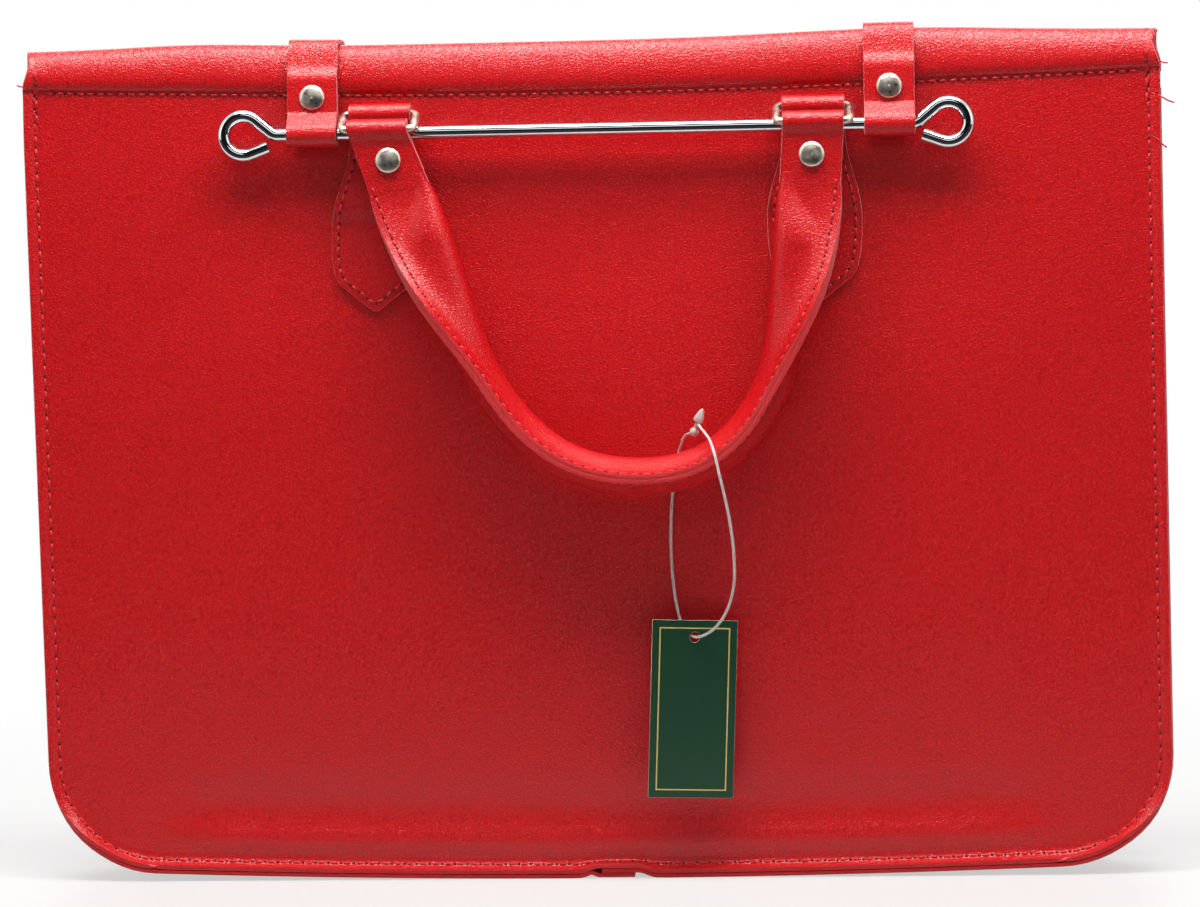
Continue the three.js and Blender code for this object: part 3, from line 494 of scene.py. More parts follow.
def plated(name, bright, dull, roughness, depth):
    """Plate over polished wire: a mirror with faint waves left by drawing and polishing."""
    finish, tree, shader = new_finish(name)
    place = node(tree, "ShaderNodeTexCoord").outputs["Object"]
    drawn = node(tree, "ShaderNodeTexNoise", {
        "Vector": place, "Scale": 1 / DRAWN_WAVE, "Detail": 2.0,
    })
    stains = node(tree, "ShaderNodeTexNoise", {
        "Vector": place, "Scale": 1 / POLISH_STAIN, "Detail": 4.0,
    })
    colour = node(tree, "ShaderNodeMix", {
        "Factor": stains.outputs["Fac"], "A": tint(dull), "B": tint(bright),
    }, data_type="RGBA")
    gloss = node(tree, "ShaderNodeMapRange", {
        "Value": stains.outputs["Fac"], "From Min": 0.35, "From Max": 0.7,
        "To Min": roughness, "To Max": roughness * 1.8,
    })
    bump = node(tree, "ShaderNodeBump", {
        "Strength": 0.25, "Distance": depth, "Height": drawn.outputs["Fac"],
    })
    link(tree, colour.outputs["Result"], shader, "Base Color")
    link(tree, gloss.outputs["Result"], shader, "Roughness")
    link(tree, bump.outputs["Normal"], shader, "Normal")
    shader.inputs["Metallic"].default_value = 1.0
    return finish


chrome = plated("chrome_plated_steel", "e4e6e8", "c9cdd1", 0.06, 0.03 * MM)
nickel = plated("nickel_plated_brass", "e8e2d3", "d2cab8", 0.26, 0.001 * MM)

# %% Clear nylon
NYLON_CLOUD = 1.111 * MM
nylon, _, shader, _ = mottled_finish(
    "nylon_clear_moulded", NYLON_CLOUD, 2.0, "cfc9c4", "f4f1ee")
shader.inputs["Roughness"].default_value = 0.22
shader.inputs["IOR"].default_value = 1.53
shader.inputs["Transmission Weight"].default_value = 0.35

# %% Rope filler
ROPE_HAIR = 0.625 * MM
rope, tree, shader, hairs = mottled_finish(
    "cotton_filler_cord", ROPE_HAIR, 4.0, "a3966f", "dccfa9")
bump = node(tree, "ShaderNodeBump", {
    "Strength": 0.7, "Distance": 0.2 * MM, "Height": hairs.outputs["Fac"],
})
link(tree, bump.outputs["Normal"], shader, "Normal")
shader.inputs["Roughness"].default_value = 0.95

# %% [markdown]
# The tag's face is a plain dark green with a thin gold frame printed near its edge. The frame
# follows the card, so it is drawn on the card's own UV map, whose unit here is a millimetre:
# the distance to the nearest edge is the smaller of two distances, and the frame is where that
# distance lies between two values.

# %% Card
FRAME_INSET, FRAME_WIDTH = 2.6, 0.45
CARD_GRAIN = 1 / 3
green_card, tree, shader = new_finish("card_coated_printed")
uv = node(tree, "ShaderNodeUVMap", uv_map="card").outputs["UV"]
middle = (0, TAG_HOLE_DROP - TAG_HEIGHT / 2, 0)
centred = node(tree, "ShaderNodeVectorMath", {0: uv, 1: middle}, operation="SUBTRACT")
folded = node(tree, "ShaderNodeVectorMath", {0: centred.outputs["Vector"]}, operation="ABSOLUTE")
inset = node(tree, "ShaderNodeVectorMath", {
    0: (TAG_WIDTH / 2, TAG_HEIGHT / 2, 100), 1: folded.outputs["Vector"],
}, operation="SUBTRACT")
axes = node(tree, "ShaderNodeSeparateXYZ", {0: inset.outputs["Vector"]})
nearest = node(tree, "ShaderNodeMath", {
    0: axes.outputs["X"], 1: axes.outputs["Y"],
}, operation="MINIMUM")
off_line = node(tree, "ShaderNodeMath", {
    0: nearest.outputs["Value"], 1: FRAME_INSET, 2: FRAME_WIDTH / 2,
}, operation="COMPARE")
weave = node(tree, "ShaderNodeTexNoise", {"Vector": uv, "Scale": 1 / CARD_GRAIN, "Detail": 4.0})
green = node(tree, "ShaderNodeMix", {
    "Factor": weave.outputs["Fac"], "A": tint("06331d"), "B": tint("0a4226"),
}, data_type="RGBA")
colour = node(tree, "ShaderNodeMix", {
    "Factor": off_line.outputs["Value"], "A": green.outputs["Result"], "B": tint("c9b26a"),
}, data_type="RGBA")
bump = node(tree, "ShaderNodeBump", {
    "Strength": 0.3, "Distance": 0.03 * MM, "Height": weave.outputs["Fac"],
})
link(tree, colour.outputs["Result"], shader, "Base Color")
link(tree, bump.outputs["Normal"], shader, "Normal")
shader.inputs["Roughness"].default_value = 0.38
shader.inputs["IOR"].default_value = 1.5

# %% The card's cut edge
CARD_PULP = 0.4545 * MM
card_edge, _, shader, _ = mottled_finish("card_cut_edge", CARD_PULP, 3.0, "c8c9b4", "e6e6d6")
shader.inputs["Roughness"].default_value = 0.85

# %% [markdown]
# ## The nylon loop
# The only free cord is the loop of nylon monofilament that carries the swing tag. It leaves its
# lock, goes round the handle and through the tag's hole and comes back, and all of it shows in
# the photograph, so its length is what is seen. It hangs from the handle and stays a little
# sprung, as monofilament does.


# %% The loop's line
HOLE_PLACE = (32.4, -25.8, 82.2)
LOOP_ROUTE = [
    (34.9, -26.4, 153.0), (38.0, -32.8, 149.6), (39.2, -37.6, 148.0), (40.6, -41.2, 144.2),
    (42.0, -42.4, 138.0), (43.6, -42.6, 131.0), (45.4, -42.0, 121.0), (46.4, -39.8, 110.0),
    (46.0, -36.6, 100.0), (43.2, -32.8, 91.0), (38.2, -29.2, 84.6), HOLE_PLACE,
    (28.4, -22.4, 85.6), (26.2, -20.2, 93.0), (25.0, -18.4, 103.0), (24.6, -17.0, 114.0),
    (25.0, -16.2, 125.0), (26.2, -16.1, 135.0), (28.0, -16.7, 144.4), (30.2, -19.2, 149.2),
    (32.4, -22.8, 150.2),
]


def through(route, steps):
    """A smooth line through points: the centripetal Catmull-Rom curve that the CAD uses."""
    points = np.asarray(route, float)
    points = np.concatenate([[2 * points[0] - points[1]], points, [2 * points[-1] - points[-2]]])
    runs = []
    for p0, p1, p2, p3 in zip(points, points[1:], points[2:], points[3:]):
        d0, d1, d2 = (np.linalg.norm(b - a) ** 0.5 for a, b in ((p0, p1), (p1, p2), (p2, p3)))
        start = ((p1 - p0) / d0 - (p2 - p0) / (d0 + d1) + (p2 - p1) / d1) * d1
        end = ((p2 - p1) / d1 - (p3 - p1) / (d1 + d2) + (p3 - p2) / d2) * d1
        runs.append(bezier(p1, p1 + start / 3, p2 - end / 3, p2, steps))
    return join(*runs)


loop_line = respace(through(LOOP_ROUTE, 12), 1.2)
loop = make_piece("nylon_loop", [sweep(loop_line, LOOP_DIAMETER / 2, 10)], [nylon])

# %% The lock
loop_way = unit(np.array(LOOP_ROUTE[-1]) - LOOP_ROUTE[-2])
lock_place = np.array(LOOP_ROUTE[-1]) + loop_way * (LOCK_BALL / 2 + LAYER_GAP)
lock_outline = join(
    arc((0, 0), LOCK_BALL / 2, -math.pi / 2, math.radians(62), 14),
    [(LOCK_NECK / 2, LOCK_NECK_START), (LOCK_NECK / 2, LOCK_NECK_END)],
    [(LOCK_WIDTH / 2 - 0.1, LOCK_SHOULDER - 0.1), (LOCK_WIDTH / 2, LOCK_SHOULDER + 0.15)],
    [(LOCK_WAIST_WIDTH / 2, LOCK_WAIST), (LOCK_POINT / 2 + 0.1, LOCK_LENGTH - LOCK_BALL / 2 - 0.3)],
    [(LOCK_POINT / 2 - 0.15, LOCK_LENGTH - LOCK_BALL / 2), (0, LOCK_LENGTH - LOCK_BALL / 2)],
)
lock = make_piece("nylon_lock", [spin(lock_outline, 24, LOCK_WAY, lock_place)], [nylon])

# %% The card
CARD_EDGE_ROUND = 0.06


def tag_piece():
    """The card: a drawn outline with a hole, given a thickness and made a mesh."""
    drawing = bpy.data.curves.new("swing_card", "CURVE")
    drawing.dimensions = "2D"
    drawing.fill_mode = "BOTH"
    drawing.extrude = TAG_CARD / 2 - CARD_EDGE_ROUND
    drawing.bevel_depth = CARD_EDGE_ROUND
    low, high, half = TAG_HOLE_DROP - TAG_HEIGHT, TAG_HOLE_DROP, TAG_WIDTH / 2
    corner = [(-half, low), (half, low), (half, high), (-half, high)]
    hole = arc((0, 0), TAG_HOLE / 2, 0, 2 * math.pi, 32)[:-1]
    for outline in (corner, hole):
        spline = drawing.splines.new("POLY")
        spline.points.add(len(outline) - 1)
        for point, (x, y) in zip(spline.points, outline):
            point.co = (x, y, 0, 1)
        spline.use_cyclic_u = True
    holder = new_object("swing_card_drawing", drawing)
    depsgraph = bpy.context.evaluated_depsgraph_get()
    mesh = bpy.data.meshes.new_from_object(holder.evaluated_get(depsgraph))
    bpy.data.objects.remove(holder)
    layer = mesh.uv_layers.new(name="card")
    for corner_loop in mesh.loops:
        layer.data[corner_loop.index].uv = mesh.vertices[corner_loop.vertex_index].co.xy
    mesh.materials.clear()
    mesh.materials.append(green_card)
    mesh.materials.append(card_edge)
    for face in mesh.polygons:
        face.material_index = 0 if abs(face.normal.z) > 0.9 else 1
    turn = Matrix.Rotation(-TAG_TILT, 4, "Z")
    stand = Matrix.Rotation(math.pi / 2, 4, "X") @ Matrix.Rotation(TAG_TURN, 4, "Y") @ turn
    place = Matrix.Translation((HOLE_PLACE[0], HOLE_PLACE[1] + SHIFT, HOLE_PLACE[2]))
    mesh.transform(Matrix.Scale(MM, 4) @ place @ stand)
    print("swing_card", len(mesh.polygons), "faces")
    return new_object("swing_card", mesh)


tag = tag_piece()

# %% What the loop carries
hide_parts("tag_loop")
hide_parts("tag_lock")
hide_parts("swing_tag")
for piece, slot in ((loop, "nylon"), (lock, "nylon"), (tag, "card")):
    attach(piece, "handle")

# %% [markdown]
# ## The panels' form
# A panel starts as a flat drawing and takes its form in steps, each its own short function:
# a soft crown, slow waves, a channel along the seam, the rolled hem at the mouth, the seam
# allowance that curls outwards under the case's weight, and the way that the whole case has
# settled. A cloth simulation would give the waves too, but not the same each time the leather
# and the padding are changed, and the stitches have to know exactly where the surface lies.

# %% How the panels have settled
STITCH_INSET = 3.8
CURL_START, CURL_RADIUS = 6.4, 3.6
CURL_ANGLE, SIDE_CURL_ANGLE = math.radians(72), math.radians(14)
BASE_BOW, BOW_REACH = 2.6, 150
BOW_MOST, BOW_HEIGHT = 1.15, 120
EDGE_LEANS, LEAN_FADE, LEAN_HEIGHT = {-1: 4.4, 1: 1.8}, (130, 186), 250
CURL_FADE = (0.25, 0.97)
LAP_RISE, LAP_FADE = 1.9, (1, 8)
SLOW_WAVE, QUICK_WAVE = 0.32, 0.16
WAVE_SIDE_FADE, WAVE_BASE_FADE = (4, 40), (8, 45)
HOLLOW_DEPTH, HOLLOW_HEIGHT, HOLLOW_REACH = 0.9, 24, 7.5
ROLL_RISE, ROLL_HEIGHT, ROLL_REACH = 1.2, 12.5, 4.2
FOOT_FADE = (120, 165)
MOUTH_RISES = ((1.3, -134, 32), (2.0, 103, 50))
MOUTH_BEGINS, MOUTH_ENDS = 262, 280
GROOVE_DEPTH, GROOVE_REACH = 0.5, 1.1


def hem_drop(x):
    return HEM_DROP_MIDDLE - (HEM_DROP_MIDDLE - HEM_DROP_ENDS) * (x / HALF_WIDTH) ** 2


def waves(x, z):
    """Slow buckles of a few tenths of a millimetre, as flexible sheet has."""
    slow = SLOW_WAVE * np.sin(x / 31 + z / 57 + 0.6) * np.sin(z / 44 - x / 120 + 1.9)
    quick = QUICK_WAVE * np.sin(x / 14.5 - z / 26 + 2.2) * np.sin(z / 21 + x / 60)
    from_side = smoothstep(HALF_WIDTH - np.abs(x), *WAVE_SIDE_FADE)
    return (slow + quick) * from_side * smoothstep(z, *WAVE_BASE_FADE)


def edge_distance(x, z):
    """How far inside the panel's outline a place is."""
    beside, below = HALF_WIDTH - CORNER_RADIUS, CORNER_RADIUS
    in_corner = (np.abs(x) > beside) & (z < below)
    round_corner = CORNER_RADIUS - np.hypot(np.abs(x) - beside, below - z)
    return np.where(in_corner, round_corner, np.minimum(HALF_WIDTH - np.abs(x), z))


def bell(value, middle, reach):
    return np.exp(-((value - middle) / reach) ** 2)


def relief(x, z):
    """How far a panel stands out of its plane: crown, waves, and the foot's hollow and roll."""
    x, z = np.asarray(x, float), np.asarray(z, float)
    from_sides = smoothstep(HALF_WIDTH - np.abs(x), SEAM_ALLOWANCE, BULGE_MARGIN)
    from_base = smoothstep(z, SEAM_ALLOWANCE, BULGE_MARGIN)
    below_hem = CASE_HEIGHT - HEM_DROP_MIDDLE - FLAT_BELOW_HEM - z
    crown = PANEL_BULGE * from_sides * from_base * smoothstep(below_hem, 0, BULGE_MARGIN)
    fade = 1 - smoothstep(np.abs(x), *FOOT_FADE)
    hollow = -HOLLOW_DEPTH * bell(z, HOLLOW_HEIGHT, HOLLOW_REACH) * fade
    roll = ROLL_RISE * bell(z, ROLL_HEIGHT, ROLL_REACH) * fade
    return crown + waves(x, z) + hollow + roll


def outward_way(x, z):
    """The direction in X and Z from the panel's middle to its nearest edge."""
    beside, below = HALF_WIDTH - CORNER_RADIUS, CORNER_RADIUS
    round_x, round_z = np.maximum(np.abs(x) - beside, 0), np.minimum(z - below, 0)
    length = np.hypot(round_x, round_z)
    in_corner = (round_x > 0) & (round_z < 0)
    along_base = (z < np.minimum(below, HALF_WIDTH - np.abs(x))) & ~in_corner
    safe = np.maximum(length, 1e-9)
    way_x = np.where(in_corner, round_x / safe, np.where(along_base, 0, 1)) * np.sign(x)
    way_z = np.where(in_corner, round_z / safe, np.where(along_base, -1, 0))
    return way_x, way_z


def curl(x, out, z):
    """The seam allowance along the base bends outwards, because the case stands on it."""
    middle_out = HALF_MOUTH - SHEET / 2
    offset = out - middle_out
    way_x, way_z = outward_way(x, z)
    amount = SIDE_CURL_ANGLE + (CURL_ANGLE - SIDE_CURL_ANGLE) * smoothstep(-way_z, *CURL_FADE)
    run = np.maximum(CURL_START - np.maximum(edge_distance(x, z), 0), 0)
    turn = np.minimum(run / CURL_RADIUS, amount)
    straight = run - turn * CURL_RADIUS
    out_by = CURL_RADIUS * (1 - np.cos(turn)) + straight * np.sin(turn)
    down_by = CURL_RADIUS * np.sin(turn) + straight * np.cos(turn)
    beside_lap = np.abs(x - LAP_CENTRE) - LAP_LENGTH / 2
    lap = LAP_RISE * (1 - smoothstep(beside_lap, *LAP_FADE)) * np.clip(run / CURL_START, 0, 1)
    drawn_in = run - down_by + offset * np.sin(turn)
    new_out = np.where(run > 0, middle_out + out_by + offset * np.cos(turn), out)
    return x - way_x * drawn_in, new_out, z - way_z * drawn_in + lap * (z < CURL_START)


def mouth_wave(x, z):
    """The mouth isn't quite straight: two low rises, of which the right one is the longer."""
    rise = sum(height * bell(x, middle, reach) for height, middle, reach in MOUTH_RISES)
    return rise * smoothstep(z, MOUTH_BEGINS, MOUTH_ENDS)


def settle(points):
    """The ends of the base lift a little, the two sides lean and the mouth waves."""
    points = np.array(points, float)
    x, z = points[..., 0], points[..., 2]
    low = 1 - smoothstep(z, 0, BOW_HEIGHT)
    lift = BASE_BOW * np.minimum(np.abs(x) / BOW_REACH, BOW_MOST) ** 2 * low
    amount = np.where(x < 0, EDGE_LEANS[-1], EDGE_LEANS[1])
    upwards = np.clip(z, 0, LEAN_HEIGHT) / LEAN_HEIGHT
    sideways = amount * smoothstep(np.abs(x), *LEAN_FADE) * (0.5 - upwards)
    points[..., 0] += sideways
    points[..., 2] += lift + mouth_wave(x, z)
    return points


# %% [markdown]
# The hem is the panel's own edge rolled over a strip of padding and stitched down. Its outline
# is three curves: out of the groove that the stitches pull and on to the ridge, over the padding
# and the fold, and down behind the panel.

# %% The hem's outline
HEM_FACE = -SHEET / 2
HEM_BEHIND = HEM_FACE - SHEET - LAYER_GAP
HEM_RIDGE = (0.75, 0.88)
HEM_LEAN, HEM_END_INSET = 3.2, 2
hem_tail_share = 1 + HEM_TAIL / HEM_DROP_MIDDLE
HEM_OUTER = join(
    bezier((HEM_FACE, 1), (HEM_FACE - 0.2, 0.96), (HEM_RIDGE[0] - 0.4, 0.95), HEM_RIDGE, 14),
    bezier(HEM_RIDGE, (2.5, 0.66), (2.2, 0), (HEM_FACE, 0), 16),
)
HEM_INNER = bezier(
    (HEM_FACE, 0), (HEM_BEHIND - SHEET / 2, 0), (HEM_BEHIND, 0.7), (HEM_BEHIND, hem_tail_share), 10,
)


def drawn_in_ends(share):
    """How far the hem's ends stand inside the panel's sides, most at its fold."""
    return HEM_END_INSET * (1 - smoothstep(share, 0.3, 0.95))


def lean_back(share):
    """How far the hem tips back over the mouth, most at its fold."""
    return HEM_LEAN * np.maximum(1 - np.asarray(share, float), 0) ** 1.3


front_run = HEM_OUTER[HEM_OUTER[:, 1] > 0.02]
HEM_SHARES, HEM_OUTS = front_run[::-1, 1], front_run[::-1, 0]


def panel_place(side, x, extra, z):
    """A place on a panel's middle surface. extra is how far the hem carries it out."""
    x, z = np.broadcast_arrays(np.asarray(x, float), np.asarray(z, float))
    out = HALF_MOUTH - SHEET / 2 + relief(x, z) + extra
    seam = bell(edge_distance(x, z), STITCH_INSET, GROOVE_REACH)
    out = out - GROOVE_DEPTH * seam * (z > CURL_START)
    new_x, out, new_z = curl(x, out, z)
    y = side * (out + spread(z))
    return settle(np.stack([new_x, y, new_z], -1))


# %% The panels
HEM_PITCH, SIDE_PITCH = 3.5, 4.3
PUCKER_DEPTH, PUCKER_AT, PUCKER_REACH = 0.16, 0.95, 0.07
PANEL_COLUMNS = 320


def panel_rows(side, height):
    across = np.linspace(-1, 1, PANEL_COLUMNS + 1)
    rows = []
    for turn in np.linspace(0, math.pi / 2, 20, endpoint=False):
        half = HALF_WIDTH - CORNER_RADIUS + CORNER_RADIUS * math.sin(turn)
        rows.append(panel_place(side, half * across, 0, CORNER_RADIUS * (1 - math.cos(turn))))
    x = HALF_WIDTH * across
    hem_low = height - SHEET / 2 - (hem_drop(x) - SHEET / 2)
    for share in np.linspace(0, 1, 46, endpoint=False):
        rows.append(panel_place(side, x, 0, CORNER_RADIUS + share * (hem_low - CORNER_RADIUS)))
    for out, share in join(HEM_OUTER, HEM_INNER):
        pucker = PUCKER_DEPTH * np.cos(2 * math.pi * x / HEM_PITCH)
        pucker = pucker * bell(share, PUCKER_AT, PUCKER_REACH) * (out > HEM_FACE - 0.4)
        extra = out - HEM_FACE - lean_back(share) + pucker
        z = height - SHEET / 2 - share * (hem_drop(x) - SHEET / 2)
        rows.append(panel_place(side, x * (1 - drawn_in_ends(share) / HALF_WIDTH), extra, z))
    return np.array(rows)


for name, side, height in PANELS:
    finishes = (0, 1, 1) if side < 0 else (1, 0, 1)
    sheet = thick_sheet(panel_rows(side, height), SHEET, finishes)
    panel = make_piece(f"panel_{name}", [sheet], [pebbled_red, felt])
    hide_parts(f"{name}_panel")
    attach(panel, "case")

# %% [markdown]
# ## Gussets
# The gusset is a strip folded into a channel, whose two edges are sewn to the panels. It is in
# two halves that lap under the case. Each half is drawn as a row of cross-sections along the
# outline, with its web a little slack, and it takes the same curl and settling as the panels.


# %% Gussets
GUSSET_SLACK = 1.6
LAP_LOW, LAP_HIGH = -LAP_LENGTH / 2, LAP_LENGTH / 2 + LAP_MARGIN


def gusset_stations(side):
    """Where the sections stand: (x, z, outward x, outward z), from the top to the lap."""
    top = CASE_HEIGHT - GUSSET_TOP_DROP
    stations = [
        (side * HALF_WIDTH, z, side, 0) for z in np.linspace(top, CORNER_RADIUS, 56, endpoint=False)
    ]
    for turn in np.linspace(0, math.pi / 2, 15):
        cos, sin = math.cos(turn), math.sin(turn)
        stations.append((
            side * (HALF_WIDTH - CORNER_RADIUS + CORNER_RADIUS * cos),
            CORNER_RADIUS * (1 - sin), side * cos, -sin,
        ))
    start, end = side * (HALF_WIDTH - CORNER_RADIUS), LAP_CENTRE + side * LAP_LOW
    ramp = LAP_CENTRE + side * (LAP_HIGH + LAP_RAMP)
    base = join(np.linspace(start, ramp, 34)[1:, None], np.linspace(ramp, end, 22)[:, None])
    return stations + [(x, 0, 0, -1) for x in base[:, 0]]


def gusset_flange(web):
    """From the cut edge to the end of the fold, as (how far in from the panel, how far inwards)."""
    flange = [(0, inward) for inward in np.linspace(0, web - GUSSET_BEND, 8)]
    for turn in np.linspace(0, math.pi / 2, 6)[1:]:
        flange.append((
            GUSSET_BEND * (1 - math.cos(turn)), web - GUSSET_BEND * (1 - math.sin(turn)),
        ))
    return flange


def gusset_section(station, edge, web, slack):
    """The points of one section: flange, web and flange. The flanges curl with the panels."""
    x, z, out_x, out_z = station
    flange = gusset_flange(web)

    def flange_point(sign, folded, inward):
        px, pz = x - out_x * inward, z - out_z * inward
        lean = float(spread(pz))
        px, out, pz = (float(v) for v in curl(np.array(px), np.array(edge - folded), np.array(pz)))
        return px, sign * (out + lean), pz

    def web_point(share):
        inward = web + slack * (1 - share * share)
        px, pz = x - out_x * inward, z - out_z * inward
        return px, share * (edge + float(spread(pz)) - GUSSET_BEND), pz

    return [
        *(flange_point(-1, *place) for place in flange),
        *(web_point(share) for share in np.linspace(-1, 1, 9)[1:-1]),
        *(flange_point(1, *place) for place in reversed(flange)),
    ]


def gusset_rows(side, over):
    """One half of the gusset. At the lap, one half steps outwards and the other inwards."""
    rows = []
    for station in gusset_stations(side):
        x, z = station[:2]
        from_lap = side * (x - LAP_CENTRE)
        near_lap = smoothstep(LAP_HIGH + LAP_RAMP / 2 - from_lap, 0, LAP_RAMP / 2)
        on_lap = 0 if z > 0 else float(near_lap)
        step = on_lap * (GUSSET_SHEET + LAYER_GAP)
        edge = HALF_MOUTH - SHEET - LAYER_GAP - GUSSET_SHEET / 2 - (0 if over else step)
        web = SEAM_ALLOWANCE + GUSSET_SHEET / 2 + (step if over else 0)
        rows.append(gusset_section(station, edge, web, GUSSET_SLACK * (1 - on_lap)))
    return settle(np.array(rows))


for name, side in SIDES.items():
    finishes = (1, 0, 1) if side < 0 else (0, 1, 1)
    sheet = thick_sheet(gusset_rows(side, side > 0), GUSSET_SHEET, finishes)
    gusset = make_piece(f"gusset_web_{name}", [sheet], [pebbled_red, felt])
    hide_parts(f"gusset_{name}")
    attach(gusset, "case")


# %% [markdown]
# ## Straps
# Each strap is one strip: it starts in a point on the back, comes over the mouth, goes round the
# rod and up behind itself, and one rivet holds both layers. Its line in Y and Z is the CAD's.


# %% Straps
def strap_x(side):
    return STRAP_CENTRE + side * STRAP_SPAN / 2


def strap_line():
    rod_loop = ROD_RADIUS + LOOP_PLAY + SHEET / 2
    hem_out = HEM_PUFF + LAYER_GAP + SHEET
    corner = MOUTH_DEPTH / 3
    top = CASE_HEIGHT + LAYER_GAP + SHEET / 2
    rivet_height = CASE_HEIGHT - STRAP_RIVET_DROP
    low, high = rivet_height - STRAP_FLAT, rivet_height + STRAP_FLAT
    rod_at = ROD_OUT + float(spread(ROD_HEIGHT) - spread(low))
    out_by, down_by = rod_at - STRAP_FRONT_OUT, low - ROD_HEIGHT
    tangent = math.atan2(out_by, down_by) + math.asin(rod_loop / math.hypot(out_by, down_by))
    shoulder = CASE_HEIGHT - BACK_DROP - HEM_DROP_MIDDLE
    reach, curve = HALF_MOUTH + hem_out, STRAP_BACK_CURVE
    crown, brow = reach - HEM_LEAN, reach - HEM_LEAN * 0.35
    front, first = -(HALF_MOUTH + STRAP_FRONT_OUT), HALF_MOUTH + FIRST_LAYER
    tail = -(HALF_MOUTH + STRAP_TAIL_OUT)
    return join(
        np.linspace((first, top - STRAP_BACK_LENGTH), (first, shoulder - curve), 24),
        bezier((first, shoulder - curve), (first, shoulder - curve / 2),
               (reach, shoulder - curve / 3), (brow, shoulder + curve * 2 / 3), 12),
        bezier((brow, shoulder + curve * 2 / 3), (crown, top),
               (crown - STRAP_CROWN, top), (corner, top), 16),
        [(0, top)],
        bezier((-corner, top), (STRAP_CROWN - crown, top), (-crown, top),
               (-brow, top - STRAP_FRONT_CURVE), 16),
        bezier((-brow, top - STRAP_FRONT_CURVE), (-reach, high + STRAP_LEAD * 2 / 3),
               (front, high + STRAP_LEAD), (front, high), 10),
        [(front, high), (front, (low + high) / 2), (front, low)],
        arc((-(HALF_MOUTH + rod_at), ROD_HEIGHT), rod_loop, math.pi - tangent, 2 * math.pi, 28),
        [(tail, low + 1), (tail, (low + high) / 2), (tail, high)],
    )


def lay_strip(rows, columns):
    """A strip across X: each row is (half width, middle, y, z), and it follows the panel."""
    rows = np.asarray(rows, float)
    share = np.linspace(-1, 1, columns + 1)
    x = rows[:, 1:2] + rows[:, 0:1] * share
    z = np.broadcast_to(rows[:, 3:4], x.shape)
    sign = np.sign(rows[:, 2:3])
    y = rows[:, 2:3] + sign * (relief(x, z) + spread(z))
    return np.stack([x, y, z + mouth_wave(x, z)], -1)


def strap_rows(side):
    line = respace(strap_line(), 1.1)
    tip = line[0, 1] - STRAP_POINT
    shares = np.linspace(0, 1, 14, endpoint=False)
    point = [(line[0, 0], tip + STRAP_POINT * share ** 2) for share in shares]
    rows = []
    for y, z in join(point, line):
        from_tip = min(max((z - tip) / STRAP_POINT, 0), 1) if y > 0 else 1
        half = max(STRAP_TIP / 2, STRAP_WIDTH / 2 * math.sqrt(from_tip))
        rows.append((half, strap_x(side), y, z))
    return lay_strip(rows, 10)


for name, side in SIDES.items():
    sheet = thick_sheet(strap_rows(side), SHEET, (1, 0, 1))
    strap = make_piece(f"rod_strap_{name}", [sheet], [strap_red, felt])
    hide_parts(f"strap_{name}")
    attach(strap, "case")

# %% [markdown]
# ## Chapes
# A chape is the shield-shaped tab that holds a ring: its neck goes up over the ring's bar and
# back down behind itself, and a row of stitches near its edge holds it to the panel.

# %% Chapes
BAR_LOOP = WIRE_RADIUS + LOOP_PLAY + SHEET / 2
BAR_OUT = FIRST_LAYER + BAR_LOOP


def ring_x(side):
    return strap_x(side) - side * (STRAP_WIDTH / 2 + RING_GAPS[side] + RING_INSIDE / 2 + RING_WIRE)


def chape_outline(steps):
    tip, belly, neck = BAR_HEIGHT - CHAPE_LENGTH, CHAPE_BELLY / 2, CHAPE_NECK / 2
    point = belly * CHAPE_POINT_SHARE
    low, wide, high = (tip + rise for rise in (CHAPE_POINT_RISE, CHAPE_BELLY_RISE, CHAPE_NECK_RISE))
    return join(
        np.linspace((CHAPE_TIP / 2, tip), (point, low), steps // 2),
        bezier((point, low), ((point + 2 * belly) / 3, low + CHAPE_POINT_TURN),
               (belly, wide - CHAPE_EASE), (belly, wide), steps),
        bezier((belly, wide), (belly, wide + CHAPE_EASE),
               (neck, high - CHAPE_EASE), (neck, high), steps),
    )


def chape_out(z):
    over_tail = BAR_HEIGHT - CHAPE_TAIL - CHAPE_TAIL_GAP
    return FIRST_LAYER + LAYER_PITCH * smoothstep(z, over_tail - CHAPE_TAIL_RAMP, over_tail)


def chape_middle(side, z):
    neck_top = BAR_HEIGHT - CHAPE_LENGTH + CHAPE_NECK_RISE
    return ring_x(side) - CHAPE_SLANTS[side] * smoothstep(neck_top - z, 0, CHAPE_LENGTH)


def chape_rows(side):
    rows = [(half, chape_middle(side, z), -(HALF_MOUTH + float(chape_out(z))), z)
            for half, z in chape_outline(26)]
    front_out = FIRST_LAYER + LAYER_PITCH
    turn_height = ROD_HEIGHT + CHAPE_TURN_ABOVE_ROD
    out_by, up_by = BAR_OUT - front_out, BAR_HEIGHT - turn_height
    tangent = math.atan2(up_by, out_by) - math.asin(BAR_LOOP / math.hypot(out_by, up_by))
    fold = join(
        [(front_out, turn_height)],
        arc((BAR_OUT, BAR_HEIGHT), BAR_LOOP, tangent - math.pi / 2, math.pi, 24),
        np.linspace((FIRST_LAYER, BAR_HEIGHT), (FIRST_LAYER, BAR_HEIGHT - CHAPE_TAIL), 14),
    )
    rows += [(CHAPE_NECK / 2, ring_x(side), -(HALF_MOUTH + out), z) for out, z in fold]
    return lay_strip(rows, 20)


